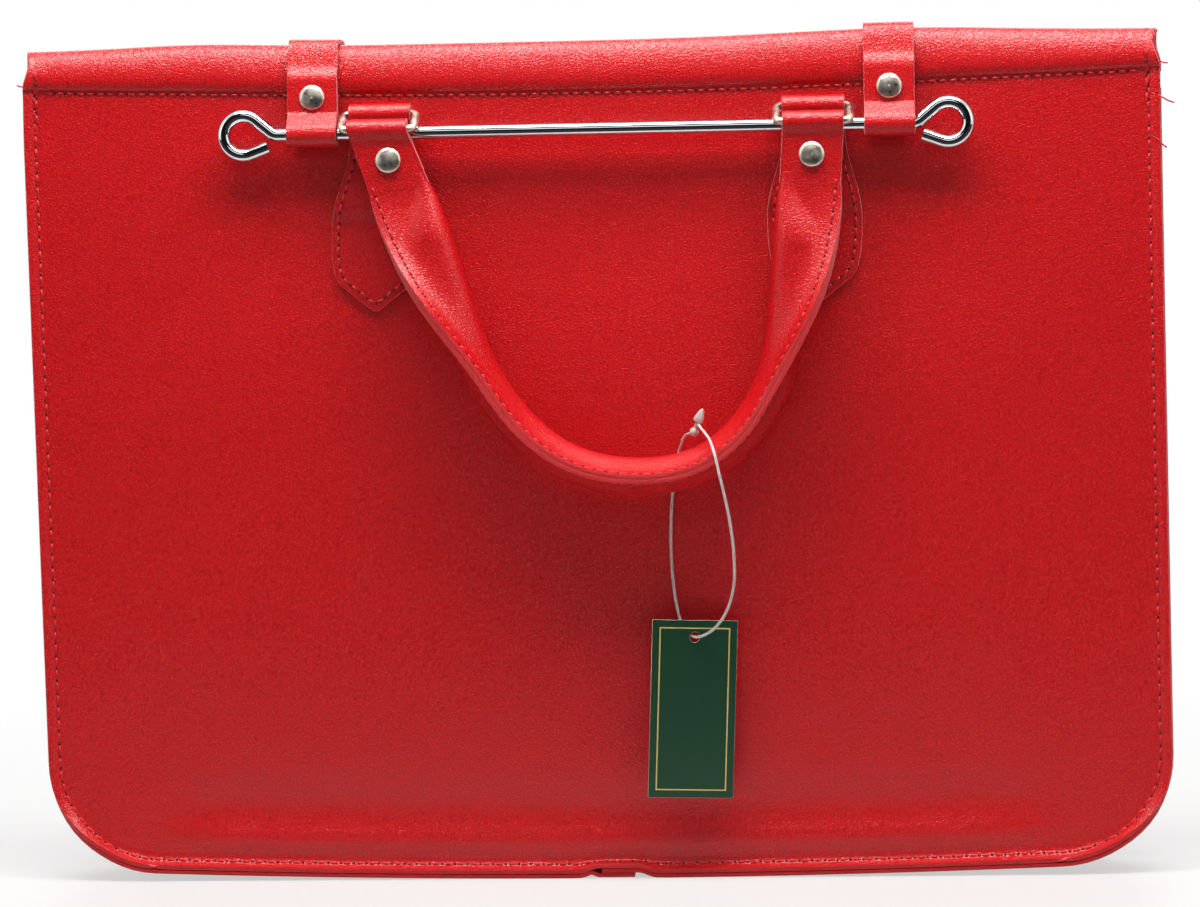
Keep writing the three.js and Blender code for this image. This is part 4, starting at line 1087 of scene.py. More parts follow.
for name, side in SIDES.items():
    sheet = thick_sheet(chape_rows(side), SHEET, (0, 1, 1))
    chape = make_piece(f"ring_chape_{name}", [sheet], [pebbled_red, felt])
    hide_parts(f"chape_{name}")
    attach(chape, "case")


# %% [markdown]
# ## Rod and rings
# The rod is bright wire with an eye bent at each end, and the rings are lighter wire bent to a
# rectangle with a butt joint behind. Both are a circle swept along the CAD's lines, with enough
# sides to look round and a small chamfer where the wire was cut.


# %% Rod
ROD_CHAMFER, RING_CHAMFER = 0.25, 0.1


def eye_line(side):
    slope = EYE_NECK_SLOPE
    bend_start = EYE_RADIUS / math.sin(slope) + EYE_BEND * math.tan(slope / 2)
    bend = arc((bend_start, EYE_BEND), EYE_BEND, -math.pi / 2, -math.pi / 2 - slope, 8)
    eye = arc((0, 0), EYE_RADIUS, math.pi / 2 - slope, EYE_TAIL_ANGLE, 44)
    last = eye[-1]
    tail = last + EYE_TAIL * np.array([-math.sin(EYE_TAIL_ANGLE), math.cos(EYE_TAIL_ANGLE)])
    flat = join(bend, eye, tail)
    x = ROD_CENTRE + side * EYE_SPAN / 2 - side * flat[:, 0]
    return np.stack([x, np.full(len(x), ROD_Y), ROD_HEIGHT + flat[:, 1]], 1)


left_eye, right_eye = eye_line(-1)[::-1], eye_line(1)
straight = np.linspace(left_eye[-1], right_eye[0], 60)[1:-1]
rod_points = np.concatenate([left_eye, straight, right_eye])
rod = make_piece("closing_rod", [sweep(rod_points, ROD_RADIUS, 32, ROD_CHAMFER)], [chrome])
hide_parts("rod")
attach(rod, "rod")

# %% Rings
BAR_Y = -(HALF_MOUTH + float(spread(BAR_HEIGHT)) + BAR_OUT)
to_rod = (BAR_Y - ROD_Y, BAR_HEIGHT - ROD_HEIGHT)
RING_DROOP = math.atan2(to_rod[1], to_rod[0]) - math.asin(
    (ROD_RADIUS + WIRE_RADIUS + LAYER_GAP) / math.hypot(*to_rod))
HINGE_Y = BAR_Y - RING_LENGTH * math.cos(RING_DROOP)
HINGE_HEIGHT = BAR_HEIGHT - RING_LENGTH * math.sin(RING_DROOP)


def ring_points(side):
    half, corner = (RING_INSIDE + RING_WIRE) / 2, RING_CORNER
    inner, far = half - corner, RING_LENGTH - corner
    flat = join(
        [(RING_SPLIT / 2, 0)],
        arc((inner, corner), corner, -math.pi / 2, 0, 10),
        arc((inner, far), corner, 0, math.pi / 2, 10),
        arc((-inner, far), corner, math.pi / 2, math.pi, 10),
        arc((-inner, corner), corner, math.pi, math.pi * 1.5, 10),
        [(-RING_SPLIT / 2, 0)],
    )
    along = -flat[:, 1]
    y = BAR_Y + along * math.cos(RING_DROOP)
    z = BAR_HEIGHT + along * math.sin(RING_DROOP)
    return np.stack([ring_x(side) + flat[:, 0], y, z], 1)


for name, side in SIDES.items():
    wire = sweep(ring_points(side), WIRE_RADIUS, 24, RING_CHAMFER)
    ring = make_piece(f"wire_ring_{name}", [wire], [nickel])
    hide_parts(f"ring_{name}")
    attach(ring, "rings")

# %% [markdown]
# ## Handle
# The handle is the case's most skilful part: a strip folded round a tapering rope and sewn along
# its edge. It is twisted, so that the sewn edge lies flat at the rings and turns forward at the
# bottom. Its middle line is two curves end to end. At each distance along it a small frame says
# which way the sewn edge and the showing face point, and a section of the fold is set into it.
# At each end, where the rope stops, a flat tongue goes round the ring.

# %% The handle's line and frames
handle_low = HINGE_HEIGHT - HANDLE_DROP
left_start = np.array([ring_x(-1), HINGE_Y, HINGE_HEIGHT])
right_end = np.array([ring_x(1), HINGE_Y, HINGE_HEIGHT])
bottom = np.array([HANDLE_LOW, HINGE_Y, handle_low])


def hanging(start, reach, angle):
    return start + reach * np.array([math.sin(angle), 0, -math.cos(angle)])


sweep_by = np.array([HANDLE_SWEEP, 0, 0])
handle_points = join(
    bezier(left_start, hanging(left_start, HANDLE_LEFT_REACH, HANDLE_LEFT_SLANT),
           bottom - sweep_by, bottom, 500),
    bezier(bottom, bottom + sweep_by, hanging(right_end, HANDLE_RIGHT_REACH, -HANDLE_RIGHT_SLANT),
           right_end, 500),
)
handle_along = np.r_[0, np.cumsum(np.linalg.norm(np.diff(handle_points, axis=0), axis=1))]
HANDLE_LENGTH = float(handle_along[-1])
print("handle line", round(HANDLE_LENGTH, 1), "mm")


def on_handle(distance):
    return np.stack([np.interp(distance, handle_along, column) for column in handle_points.T], -1)


def to_near_end(distance):
    return np.minimum(distance, HANDLE_LENGTH - distance)


def cover_radius(radius):
    return radius + LOOP_PLAY + SHEET / 2


def handle_frame(distance):
    """Centre, outward and face directions, core radius, fold radius and the core's place."""
    distance = np.clip(np.asarray(distance, float), 0, HANDLE_LENGTH)
    from_end = to_near_end(distance)
    near, far = np.maximum(distance - 0.5, 0), np.minimum(distance + 0.5, HANDLE_LENGTH)
    tangent = unit(on_handle(far) - on_handle(near))
    front = np.array([0.0, -1.0, 0.0])
    outward = -unit(np.cross(front, tangent))
    on_side = np.where(distance < HANDLE_LENGTH / 2, -1.0, 1.0)
    side = np.stack([on_side, 0 * distance, 0 * distance], -1)
    square = smoothstep(from_end, 0, COVER_START + CORE_TAPER)[..., None]
    outward = unit(outward * square + side * (1 - square))
    twist = (smoothstep(from_end, TWIST_START, TWIST_END) * math.pi / 2)[..., None]
    out = outward * np.cos(twist) + front * np.sin(twist)
    face = front * np.cos(twist) - outward * np.sin(twist)
    radius = CORE_DIAMETER / 2 * smoothstep(from_end, COVER_START, COVER_START + CORE_TAPER)
    fold = np.maximum(cover_radius(radius), LAYER_PITCH / 2)
    core_at = fold + SHEET / 2 - HANDLE_WIDTH / 2
    centre = on_handle(distance)
    core_in = HANDLE_WIDTH / 2 - cover_radius(CORE_DIAMETER / 2) - SHEET / 2
    centre[..., 1] -= np.sin(twist)[..., 0] * (core_in + HANDLE_STAND_OFF)
    return centre, out, face, radius, fold, core_at


# %% The folded cover
def fold_section(fold, core_at, distance):
    """Half the fold's section, from the sewn edge to the middle of the fold, as (a, b)."""
    edge = HANDLE_WIDTH / 2
    open_end = 1 - smoothstep(to_near_end(distance) - COVER_START, 0, COVER_CLOSES)
    flat = SHEET / 2 + (LAYER_PITCH - SHEET) / 2 * open_end
    blend_end = np.minimum(core_at + 2 * fold, edge - SEAM_FLAT)
    half = [
        (edge + share * (blend_end - edge), flat + 0 * fold) for share in np.linspace(0, 1, 5)[:-1]
    ]
    for share in np.linspace(1, 0, 9):
        b = fold + (flat - fold) * smoothstep(share, 0, 1)
        half.append((core_at + share * (blend_end - core_at), b))
    for turn in np.linspace(0, math.pi / 2, 9)[1:]:
        half.append((core_at - fold * math.sin(turn), fold * math.cos(turn)))
    return half


def cover_rows():
    distance = np.linspace(COVER_START, HANDLE_LENGTH - COVER_START, 260)
    centre, out, face, _, fold, core_at = handle_frame(distance)
    half = fold_section(fold, core_at, distance)
    section = half + [(a, -b) for a, b in reversed(half[:-1])]
    narrow_end = 1 - smoothstep(to_near_end(distance) - COVER_START, 0, COVER_WIDENS)
    width = 1 - (1 - TONGUE_WIDTH / HANDLE_WIDTH) * narrow_end
    columns = [
        centre + out * (a * width)[:, None] + face * (b + 0 * width)[:, None] for a, b in section
    ]
    return np.stack(columns, 1)


def tongue_rows(end):
    """A handle's end: two layers under the rivet and a loop round the ring's wire."""
    near, loop_at, ease = LAYER_PITCH / 2, BAR_LOOP, TONGUE_EASE
    under_rivet = HANDLE_RIVET_DROP - RIVET_HEAD / 2
    line = respace(join(
        [(COVER_START + TONGUE_LAP, near), (under_rivet, near)],
        bezier((under_rivet, near), (ease, near), (ease * 2 / 3, loop_at), (0, loop_at), 14),
        arc((0, 0), loop_at, math.pi / 2, math.pi * 1.5, 24),
        bezier((0, -loop_at), (ease * 2 / 3, -loop_at), (ease, -near), (under_rivet, -near), 14),
        [(TONGUE_TAIL, -near)],
    ), 0.8)
    along, b = line[:, 0], line[:, 1]
    distance = np.maximum(along, 0) if end < 0 else HANDLE_LENGTH - np.maximum(along, 0)
    centre, out, face = handle_frame(distance)[:3]
    across = (TONGUE_WIDTH * np.linspace(-0.5, 0.5, 13))[None, :, None]
    rows = centre[:, None] + out[:, None] * across + (face * b[:, None])[:, None]
    rows[..., 2] += np.maximum(-along, 0)[:, None]
    return rows


cover = make_piece("handle_grip_cover", [
    thick_sheet(cover_rows(), SHEET, (1, 0, 1)),
    thick_sheet(tongue_rows(-1), SHEET, (1, 0, 1)),
    thick_sheet(tongue_rows(1), SHEET, (0, 1, 1)),
], [pebbled_red, felt])
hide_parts("handle_cover")
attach(cover, "handle")


# %% The rope inside
def rope_rings():
    """Rings of points whose lobes turn along the rope, one for each of its strands."""
    start = COVER_START + CORE_TAPER / 2
    distance = np.linspace(start, HANDLE_LENGTH - start, 220)
    centre, out, face, radius, _, core_at = handle_frame(distance)
    turn = np.linspace(0, 2 * math.pi, 18, endpoint=False)
    twisted = turn[None] - (2 * math.pi * distance / ROPE_LAY)[:, None]
    lobes = 0.9 + 0.08 * np.cos(ROPE_STRANDS * twisted)
    size = ((radius - LAYER_GAP / 2)[:, None] * lobes)[..., None]
    middle = (centre + out * core_at[:, None])[:, None]
    cos, sin = np.cos(turn)[None, :, None], np.sin(turn)[None, :, None]
    return middle + size * (out[:, None] * cos + face[:, None] * sin)


core = make_piece("handle_rope", [closed_rings(rope_rings())], [rope])
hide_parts("handle_core")
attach(core, "handle")

# %% [markdown]
# ## Rivets
# Four rivets are the same turned part in four places, so one template is set on points by
# Geometry Nodes. The tree takes a mesh of points with an "up" direction each, turns the template
# to it, realises the copies and sets the finish. The points come in one mesh for each body.


# %% The rivet's template and its tree
def rivet_template():
    head, lip, post = RIVET_HEAD / 2, RIVET_LIP, RIVET_POST / 2
    dome = [
        (head * math.sin(turn), lip + (RIVET_DOME - lip) * math.cos(turn))
        for turn in np.linspace(0, math.pi / 2, 12)
    ]
    post_end, back_face = -GRIP - LAYER_GAP, -GRIP - 2 * LAYER_GAP
    rim = [(head - 0.05, lip * 0.45), (head - lip, 0)]
    cap = dome + rim + [(post, 0), (post, post_end), (0, post_end)]
    back, back_end = RIVET_BACK / 2, back_face - RIVET_BACK_THICKNESS
    plate = [(0, back_face), (back, back_face), (back, back_face - RIVET_BACK_THICKNESS / 2),
             (back - RIVET_BACK_EDGE, back_end), (0, back_end)]
    parts = [spin(outline, 40, (0, 0, 1), (0, -SHIFT, 0)) for outline in (cap, plate)]
    return make_piece("rivet_template", parts, [nickel], 30)


def new_tree(name, numbers):
    """An empty Geometry Nodes tree with a mesh input and named numbers."""
    tree = bpy.data.node_groups.new(name, "GeometryNodeTree")
    tree.interface.new_socket("Geometry", in_out="INPUT", socket_type="NodeSocketGeometry")
    for label, kind in numbers.items():
        tree.interface.new_socket(label, in_out="INPUT", socket_type=kind)
    tree.interface.new_socket("Geometry", in_out="OUTPUT", socket_type="NodeSocketGeometry")
    return tree, node(tree, "NodeGroupInput")


def grown(seeds, tree, values):
    """Runs a tree on an object and turns the result into a plain mesh on the same object."""
    modifier = seeds.modifiers.new("grow", "NODES")
    modifier.node_group = tree
    for item in tree.interface.items_tree:
        if item.in_out == "INPUT" and item.name in values:
            modifier[item.identifier] = values[item.name]
    depsgraph = bpy.context.evaluated_depsgraph_get()
    mesh = bpy.data.meshes.new_from_object(seeds.evaluated_get(depsgraph))
    seeds.modifiers.remove(modifier)
    seeds.data = mesh
    print(seeds.name, len(mesh.polygons), "faces")
    return seeds


def seed_lines(name, lines):
    """A mesh of open lines. Each is (points, up directions), and up is kept on the points."""
    points, ups, edges = [], [], []
    for line, up in lines:
        start = len(points)
        points += ((np.asarray(line) + (0, SHIFT, 0)) * MM).tolist()
        ups += np.asarray(up).tolist()
        edges += [(start + i, start + i + 1) for i in range(len(line) - 1)]
    mesh = bpy.data.meshes.new(name)
    mesh.from_pydata(points, edges, [])
    attribute = mesh.attributes.new("up", "FLOAT_VECTOR", "POINT")
    attribute.data.foreach_set("vector", np.ravel(ups))
    return new_object(name, mesh)


rivet_tree, given = new_tree("rivets_on_points", {"Rivet": "NodeSocketObject"})
rivet_up = node(rivet_tree, "GeometryNodeInputNamedAttribute", {
    "Name": "up",
}, data_type="FLOAT_VECTOR")
rivet_turn = node(rivet_tree, "FunctionNodeAlignRotationToVector", {
    "Vector": rivet_up.outputs["Attribute"],
}, axis="Z")
rivet_shape = node(rivet_tree, "GeometryNodeObjectInfo", {"Object": given.outputs["Rivet"]})
rivet_copies = node(rivet_tree, "GeometryNodeInstanceOnPoints", {
    "Points": given.outputs["Geometry"], "Instance": rivet_shape.outputs["Geometry"],
    "Rotation": rivet_turn.outputs["Rotation"],
})
rivet_real = node(rivet_tree, "GeometryNodeRealizeInstances", {
    "Geometry": rivet_copies.outputs["Instances"],
})
rivet_finish = node(rivet_tree, "GeometryNodeSetMaterial", {
    "Geometry": rivet_real.outputs["Geometry"], "Material": nickel,
})
node(rivet_tree, "NodeGroupOutput", {"Geometry": rivet_finish.outputs["Geometry"]})

# %% Rivets on the straps and the handle
strap_rivet_z = CASE_HEIGHT - STRAP_RIVET_DROP
strap_face_y = -(HALF_MOUTH + float(spread(strap_rivet_z)) + STRAP_FRONT_OUT + SHEET / 2)
strap_seats = [(strap_x(side), strap_face_y - LAYER_GAP, strap_rivet_z) for side in (-1, 1)]
handle_seats = []
for distance in (HANDLE_RIVET_DROP, HANDLE_LENGTH - HANDLE_RIVET_DROP):
    seat = handle_frame(distance)[0]
    handle_seats.append((seat[0], seat[1] - GRIP / 2 - LAYER_GAP, seat[2]))
template = rivet_template()
for name, seats, body, kind in (
    ("rivets_straps", strap_seats, "case", "strap_rivet"),
    ("rivets_handle", handle_seats, "handle", "handle_rivet"),
):
    seeds = seed_lines(name, [([seat], [(0, -1, 0)]) for seat in seats])
    rivets = grown(seeds, rivet_tree, {"Rivet": template})
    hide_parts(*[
        f"{kind}_{side}_{half}" for side in SIDES for half in ("cap", "back")
    ])
    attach(rivets, body)
bpy.data.objects.remove(template)

# %% [markdown]
# ## Stitches
# A seam is hundreds of equal stitches along a line on the surface, which is just what Geometry
# Nodes are for. The tree spaces points along a line at the stitch pitch, sets a short bent
# thread on each, with its length along the line and its rise along the surface's normal, turns
# each a few degrees at random from a fixed seed, realises them and sets the finish. The thread
# is a circle swept along a bent curve, so its ends dip into the surface as they do at the needle
# holes. A second run of the same tree, half a stitch further on, puts short low loops of thread
# painted dark between the stitches: painted shade for the needle holes where the thread dives in.

# %% The stitch tree
stitch_tree, given = new_tree("stitches_along_lines", {
    "Pitch": "NodeSocketFloat", "Length": "NodeSocketFloat", "Thickness": "NodeSocketFloat",
    "Rise": "NodeSocketFloat", "Wobble": "NodeSocketFloat", "Seed": "NodeSocketInt",
    "Finish": "NodeSocketMaterial",
})
seam_curve = node(stitch_tree, "GeometryNodeMeshToCurve", {"Mesh": given.outputs["Geometry"]})
spaced = node(stitch_tree, "GeometryNodeResampleCurve", {
    "Curve": seam_curve.outputs["Curve"], "Length": given.outputs["Pitch"],
}, mode="LENGTH")
ahead, behind, sunk, half_thick, less = (
    node(stitch_tree, "ShaderNodeMath", {0: given.outputs[size], 1: share}, operation="MULTIPLY")
    for size, share in (
        ("Length", 0.5), ("Length", -0.5),
        ("Thickness", -0.75), ("Thickness", 0.5), ("Wobble", -1.0),
    )
)
needle_in = node(stitch_tree, "ShaderNodeCombineXYZ", {
    "X": behind.outputs["Value"], "Z": sunk.outputs["Value"],
})
needle_out = node(stitch_tree, "ShaderNodeCombineXYZ", {
    "X": ahead.outputs["Value"], "Z": sunk.outputs["Value"],
})
crest = node(stitch_tree, "ShaderNodeCombineXYZ", {"Z": given.outputs["Rise"]})
bent_thread = node(stitch_tree, "GeometryNodeCurveQuadraticBezier", {
    "Resolution": 6, "Start": needle_in.outputs["Vector"], "Middle": crest.outputs["Vector"],
    "End": needle_out.outputs["Vector"],
})
ply = node(stitch_tree, "GeometryNodeCurvePrimitiveCircle", {
    "Resolution": 7, "Radius": half_thick.outputs["Value"],
})
one_stitch = node(stitch_tree, "GeometryNodeCurveToMesh", {
    "Curve": bent_thread.outputs["Curve"], "Profile Curve": ply.outputs["Curve"], "Fill Caps": True,
})
way = node(stitch_tree, "GeometryNodeInputTangent")
seam_up = node(stitch_tree, "GeometryNodeInputNamedAttribute", {
    "Name": "up",
}, data_type="FLOAT_VECTOR")
facing = node(stitch_tree, "FunctionNodeAxesToRotation", {
    "Primary Axis": way.outputs["Tangent"], "Secondary Axis": seam_up.outputs["Attribute"],
}, primary_axis="X", secondary_axis="Z")
wobble = node(stitch_tree, "FunctionNodeRandomValue", {
    2: less.outputs["Value"], 3: given.outputs["Wobble"], "Seed": given.outputs["Seed"],
}, data_type="FLOAT")
about_up = node(stitch_tree, "ShaderNodeCombineXYZ", {"Z": wobble.outputs[1]})
small_turn = node(stitch_tree, "FunctionNodeEulerToRotation", {"Euler": about_up.outputs["Vector"]})
turned_stitch = node(stitch_tree, "FunctionNodeRotateRotation", {
    "Rotation": facing.outputs["Rotation"], "Rotate By": small_turn.outputs["Rotation"],
}, rotation_space="LOCAL")
copies = node(stitch_tree, "GeometryNodeInstanceOnPoints", {
    "Points": spaced.outputs["Curve"], "Instance": one_stitch.outputs["Mesh"],
    "Rotation": turned_stitch.outputs["Rotation"],
})
real = node(stitch_tree, "GeometryNodeRealizeInstances", {"Geometry": copies.outputs["Instances"]})
smooth = node(stitch_tree, "GeometryNodeSetShadeSmooth", {"Geometry": real.outputs["Geometry"]})
threaded = node(stitch_tree, "GeometryNodeSetMaterial", {
    "Geometry": smooth.outputs["Geometry"], "Material": given.outputs["Finish"],
})
node(stitch_tree, "NodeGroupOutput", {"Geometry": threaded.outputs["Geometry"]})


# %% Where the seams run
HEM_SEAM_INSET, HEM_SEAM_BELOW = 9, 0.9
TACK_START, TACK_END, TACK_OUT, TACK_LIFT = 9, 23, 0.8, 0.2


def surface_line(place_at, first, second):
    """Points and normals of a line on a surface. place_at maps two drawing numbers to a point."""
    small = 0.05
    here = place_at(first, second)
    run_a = place_at(first + small, second) - place_at(first - small, second)
    run_b = place_at(first, second + small) - place_at(first, second - small)
    normal = unit(np.cross(run_a, run_b))
    return here, normal


def outline_line(inset, top):
    """The panel's outline moved inwards, from the top left down and round to the top right."""
    side, radius = HALF_WIDTH - inset, CORNER_RADIUS - inset
    corner = HALF_WIDTH - CORNER_RADIUS
    return respace(join(
        [(-side, top)], arc((-corner, CORNER_RADIUS), radius, math.pi, 1.5 * math.pi, 40),
        arc((corner, CORNER_RADIUS), radius, -math.pi / 2, 0, 40), [(side, top)],
    ), 1.5)


def on_panel_face(side, height):
    """A function from x and z to the panel's outer face, hem and all."""
    def place_at(x, z):
        drop = hem_drop(x) - SHEET / 2
        share = np.clip((height - SHEET / 2 - z) / drop, 0.03, 1)
        on_hem = np.interp(share, HEM_SHARES, HEM_OUTS) - HEM_FACE - lean_back(share)
        extra = np.where(z > height - hem_drop(x), on_hem, 0)
        return panel_place(side, x, extra, z)
    return place_at


def face_seam(side, height, x, z, lift):
    middle, normal = surface_line(on_panel_face(side, height), x, z)
    outward = normal * np.sign(normal[:, 1:2] * side)
    outward = np.where(np.abs(normal[:, 1:2]) < 1e-6, np.array([0, side, 0.0]), outward)
    return middle + outward * (SHEET / 2 + lift), outward


def panel_seams(side, height):
    """The hem's line, and the outline's with the short rows that lock its two ends."""
    hem_end = HALF_WIDTH - HEM_SEAM_INSET
    hem_x = np.linspace(-hem_end, hem_end, 300)
    hem_z = height - hem_drop(hem_x) - HEM_SEAM_BELOW
    flat = outline_line(STITCH_INSET, height - TACK_START)
    tack_z = np.linspace(height - TACK_START, height - TACK_END, 12)
    tack_x = 0 * tack_z + HALF_WIDTH - STITCH_INSET - TACK_OUT
    tacks = [face_seam(side, height, end * tack_x, tack_z, TACK_LIFT) for end in (-1, 1)]
    return (
        [face_seam(side, height, hem_x, hem_z, 0.0)],
        [face_seam(side, height, flat[:, 0], flat[:, 1], 0.0), *tacks],
    )


# %% Sewing
STITCH = {"Thickness": 1.05 * MM, "Rise": 0.95 * MM, "Wobble": 0.07, "Seed": 7, "Finish": thread}
# HOLE's dark thread between the stitches is painted shade for the needle holes.
HOLE = {"Thickness": 0.95 * MM, "Length": 1.0 * MM, "Rise": 0.62 * MM, "Finish": hole_shade_thread}
TAB_PITCH, HANDLE_PITCH = 3.6, 3.9


def half_on(line, up, pitch):
    """The same line without half a stitch at each end, so that what it carries lies between."""
    along = np.r_[0, np.cumsum(np.linalg.norm(np.diff(line, axis=0), axis=1))]
    half = along[-1] / max(int(along[-1] / pitch), 1) / 2
    stops = np.linspace(half, along[-1] - half, len(line))
    line, up = (
        np.stack([np.interp(stops, along, column) for column in np.asarray(values).T], 1)
        for values in (line, up)
    )
    return line, unit(up)


def sew(name, lines, pitch, length, body, **changes):
    """A row of stitches on each line, and dark thread between them: painted shade for the needle
    holes.
    """
    values = {**STITCH, "Pitch": pitch * MM, "Length": length * MM, **changes}
    stitches = grown(seed_lines(name, lines), stitch_tree, values)
    between = [half_on(line, up, pitch) for line, up in lines]
    hole_shades = grown(seed_lines(f"{name}_locks", between), stitch_tree, {**values, **HOLE})
    for piece in (stitches, hole_shades):
        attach(piece, body)


for name, side, height in PANELS:
    hem_lines, side_lines = panel_seams(side, height)
    sew(f"stitches_hem_{name}", hem_lines, HEM_PITCH, 2.5, "case")
    sew(f"stitches_outline_{name}", side_lines, SIDE_PITCH, 3.0, "case", Seed=11)


# %% Seams of the chapes
CHAPE_SEAM_INSET, CHAPE_SEAM_TOP = 2.1, ROD_HEIGHT - 7


def chape_seam(side):
    """A line inside the chape's edge, up both sides from its point to under the rod."""
    outline = chape_outline(30)
    run = unit(np.gradient(outline, axis=0))
    inner = outline + CHAPE_SEAM_INSET * np.stack([-run[:, 1], run[:, 0]], 1)
    inner = inner[(inner[:, 0] > 0) & (inner[:, 1] < CHAPE_SEAM_TOP)]
    both = respace(np.concatenate([inner[::-1] * (-1, 1), inner]), 1.0)
    z = both[:, 1]
    x = chape_middle(side, z) + both[:, 0]

    def place_at(x, z):
        y = -(HALF_MOUTH + chape_out(z) + relief(x, z) + spread(z))
        return np.stack([x, y, z], -1)

    middle, normal = surface_line(place_at, x, z)
    outward = -normal * np.sign(normal[:, 1:2])
    return middle + outward * SHEET / 2, outward


for name, side in SIDES.items():
    sew(f"stitches_chape_{name}", [chape_seam(side)], TAB_PITCH, 2.5, "case", Seed=3)


# %% Seams of the straps' tongues on the back
STRAP_SEAM_INSET, STRAP_SEAM_ABOVE_TIP, STRAP_SEAM_TOP = 1.8, 2.4, 250


def strap_seam(side):
    """A line inside the edge of the strap's pointed end, down one side and up the other."""
    half, inner = STRAP_WIDTH / 2, STRAP_WIDTH / 2 - STRAP_SEAM_INSET
    tip = CASE_HEIGHT + LAYER_GAP + SHEET / 2 - STRAP_BACK_LENGTH - STRAP_POINT
    across = np.linspace(-inner, inner, 40)
    up = tip + STRAP_SEAM_ABOVE_TIP + STRAP_POINT * (across / half) ** 2
    ends = [[(end * inner, STRAP_SEAM_TOP)] for end in (-1, 1)]
    line = respace(join(ends[0], np.stack([across, up], 1), ends[1]), 1.0)

    def place_at(x, z):
        return np.stack([x, HALF_MOUTH + FIRST_LAYER + relief(x, z) + spread(z), z], -1)

    middle, normal = surface_line(place_at, strap_x(side) + line[:, 0], line[:, 1])
    outward = normal * np.sign(normal[:, 1:2])
    return middle + outward * SHEET / 2, outward


sew("stitches_straps", [strap_seam(side) for side in (-1, 1)], TAB_PITCH, 2.5, "case", Seed=9)


# %% Seams of the handle
HANDLE_SEAM_START, HANDLE_SEAM_INSET = COVER_START + 3, 2.5


def handle_seam(face_sign):
    distance = np.linspace(HANDLE_SEAM_START, HANDLE_LENGTH - HANDLE_SEAM_START, 300)
    centre, out, face = handle_frame(distance)[:3]
    a, b = HANDLE_WIDTH / 2 - HANDLE_SEAM_INSET, face_sign * SHEET
    return centre + out * a + face * b, face * face_sign


sew("stitches_handle", [handle_seam(1), handle_seam(-1)], HANDLE_PITCH, 2.7, "handle", Seed=5)

# %% [markdown]
# The thread was snipped by hand, so a few ends stick out by some millimetres at the hem's ends.
# They are short wires swept along a curve, as there is nothing in them that repeats.

# %% Thread ends
THREAD_RADIUS, THREAD_OUT = 0.26, 0.5
THREAD_ENDS = [
    ((-188.5, 269.5), (-194.4, 270.6)),
    ((186.4, 276.2), (188.6, 281.2)),
    ((187.5, 270.8), (192.0, 270.2)),
    ((186.6, 260.2), (194.0, 257.0)),
    ((186.8, 246.0), (191.4, 242.2)),
]
ends = []
for (x0, z0), (x1, z1) in THREAD_ENDS:
    y = -(HALF_MOUTH + float(spread(z0)) + THREAD_OUT)
    middle_x, middle_z = (x0 + x1) / 2, (z0 + z1) / 2
    end_line = bezier(
        (x0, y, z0), (middle_x, y - 1.0, middle_z + 0.9),
        (middle_x, y - 1.3, middle_z - 0.6), (x1, y - 0.9, z1), 16,
    )
    ends.append(sweep(end_line, THREAD_RADIUS, 8))
thread_ends = make_piece("thread_ends", ends, [thread])
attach(thread_ends, "case")

# %% [markdown]
# ## Floor, light and background
# The case stands on a plain floor that runs off into white. Near the case it is a pale board
# with a little gloss, so that it takes the shadow and a faint red reflection, and farther off it
# turns into the same white as the background. That white is there for the rays that look at
# something, which are those of the camera, of gloss and through nylon. For the rays that only
# carry light it is dim, so that the lamps make the shading. One wide soft lamp above the mouth
# gives the bright hem. Two dark cloths, behind the camera and on the floor before it, are seen by
# gloss alone: they keep the red deep and give the chrome its black streaks.

# %% Rays that see the white
def seen_rays(tree):
    """1 for the rays that look at something: those of the camera, of gloss and through nylon."""
    rays = node(tree, "ShaderNodeLightPath")
    looked = node(tree, "ShaderNodeMath", {
        0: rays.outputs["Is Camera Ray"], 1: rays.outputs["Is Glossy Ray"],
    }, operation="MAXIMUM")
    return node(tree, "ShaderNodeMath", {
        0: looked.outputs["Value"], 1: rays.outputs["Is Transmission Ray"],
    }, operation="MAXIMUM").outputs["Value"]


# %% Floor
FLOOR_SIZE, FLOOR_NEAR, FLOOR_FAR, FLOOR_LIFT = 14.0, 0.1, 0.6, 0.55
floor_finish = bpy.data.materials.new("floor_white_board")
floor_finish.use_nodes = True
tree = floor_finish.node_tree
tree.nodes.clear()
place = node(tree, "ShaderNodeTexCoord").outputs["Object"]
distance = node(tree, "ShaderNodeVectorMath", {0: place}, operation="LENGTH")
far_off = node(tree, "ShaderNodeMapRange", {
    "Value": distance.outputs["Value"], "From Min": FLOOR_NEAR, "From Max": FLOOR_FAR,
}, interpolation_type="SMOOTHSTEP")
board = node(tree, "ShaderNodeBsdfPrincipled", {
    "Base Color": tint("cac8c7"), "Roughness": 0.45, "IOR": 1.4,
})
lifted = node(tree, "ShaderNodeMapRange", {
    "Value": far_off.outputs["Result"], "To Min": FLOOR_LIFT,
})
only_seen = node(tree, "ShaderNodeMath", {
    0: lifted.outputs["Result"], 1: seen_rays(tree),
}, operation="MULTIPLY")
white = node(tree, "ShaderNodeEmission", {"Color": (1, 1, 1, 1), "Strength": 1.0})
blend = node(tree, "ShaderNodeMixShader", {
    0: only_seen.outputs["Value"], 1: board.outputs["BSDF"], 2: white.outputs["Emission"],
})
node(tree, "ShaderNodeOutputMaterial", {"Surface": blend.outputs["Shader"]})


def stage_plane(name, width, length, finish):
    mesh = bpy.data.meshes.new(name)
    x, y = width / 2, length / 2
    mesh.from_pydata([(-x, -y, 0), (x, -y, 0), (x, y, 0), (-x, y, 0)], [], [(0, 1, 2, 3)])
    mesh.materials.append(finish)
    plane = new_object(name, mesh)
    return plane


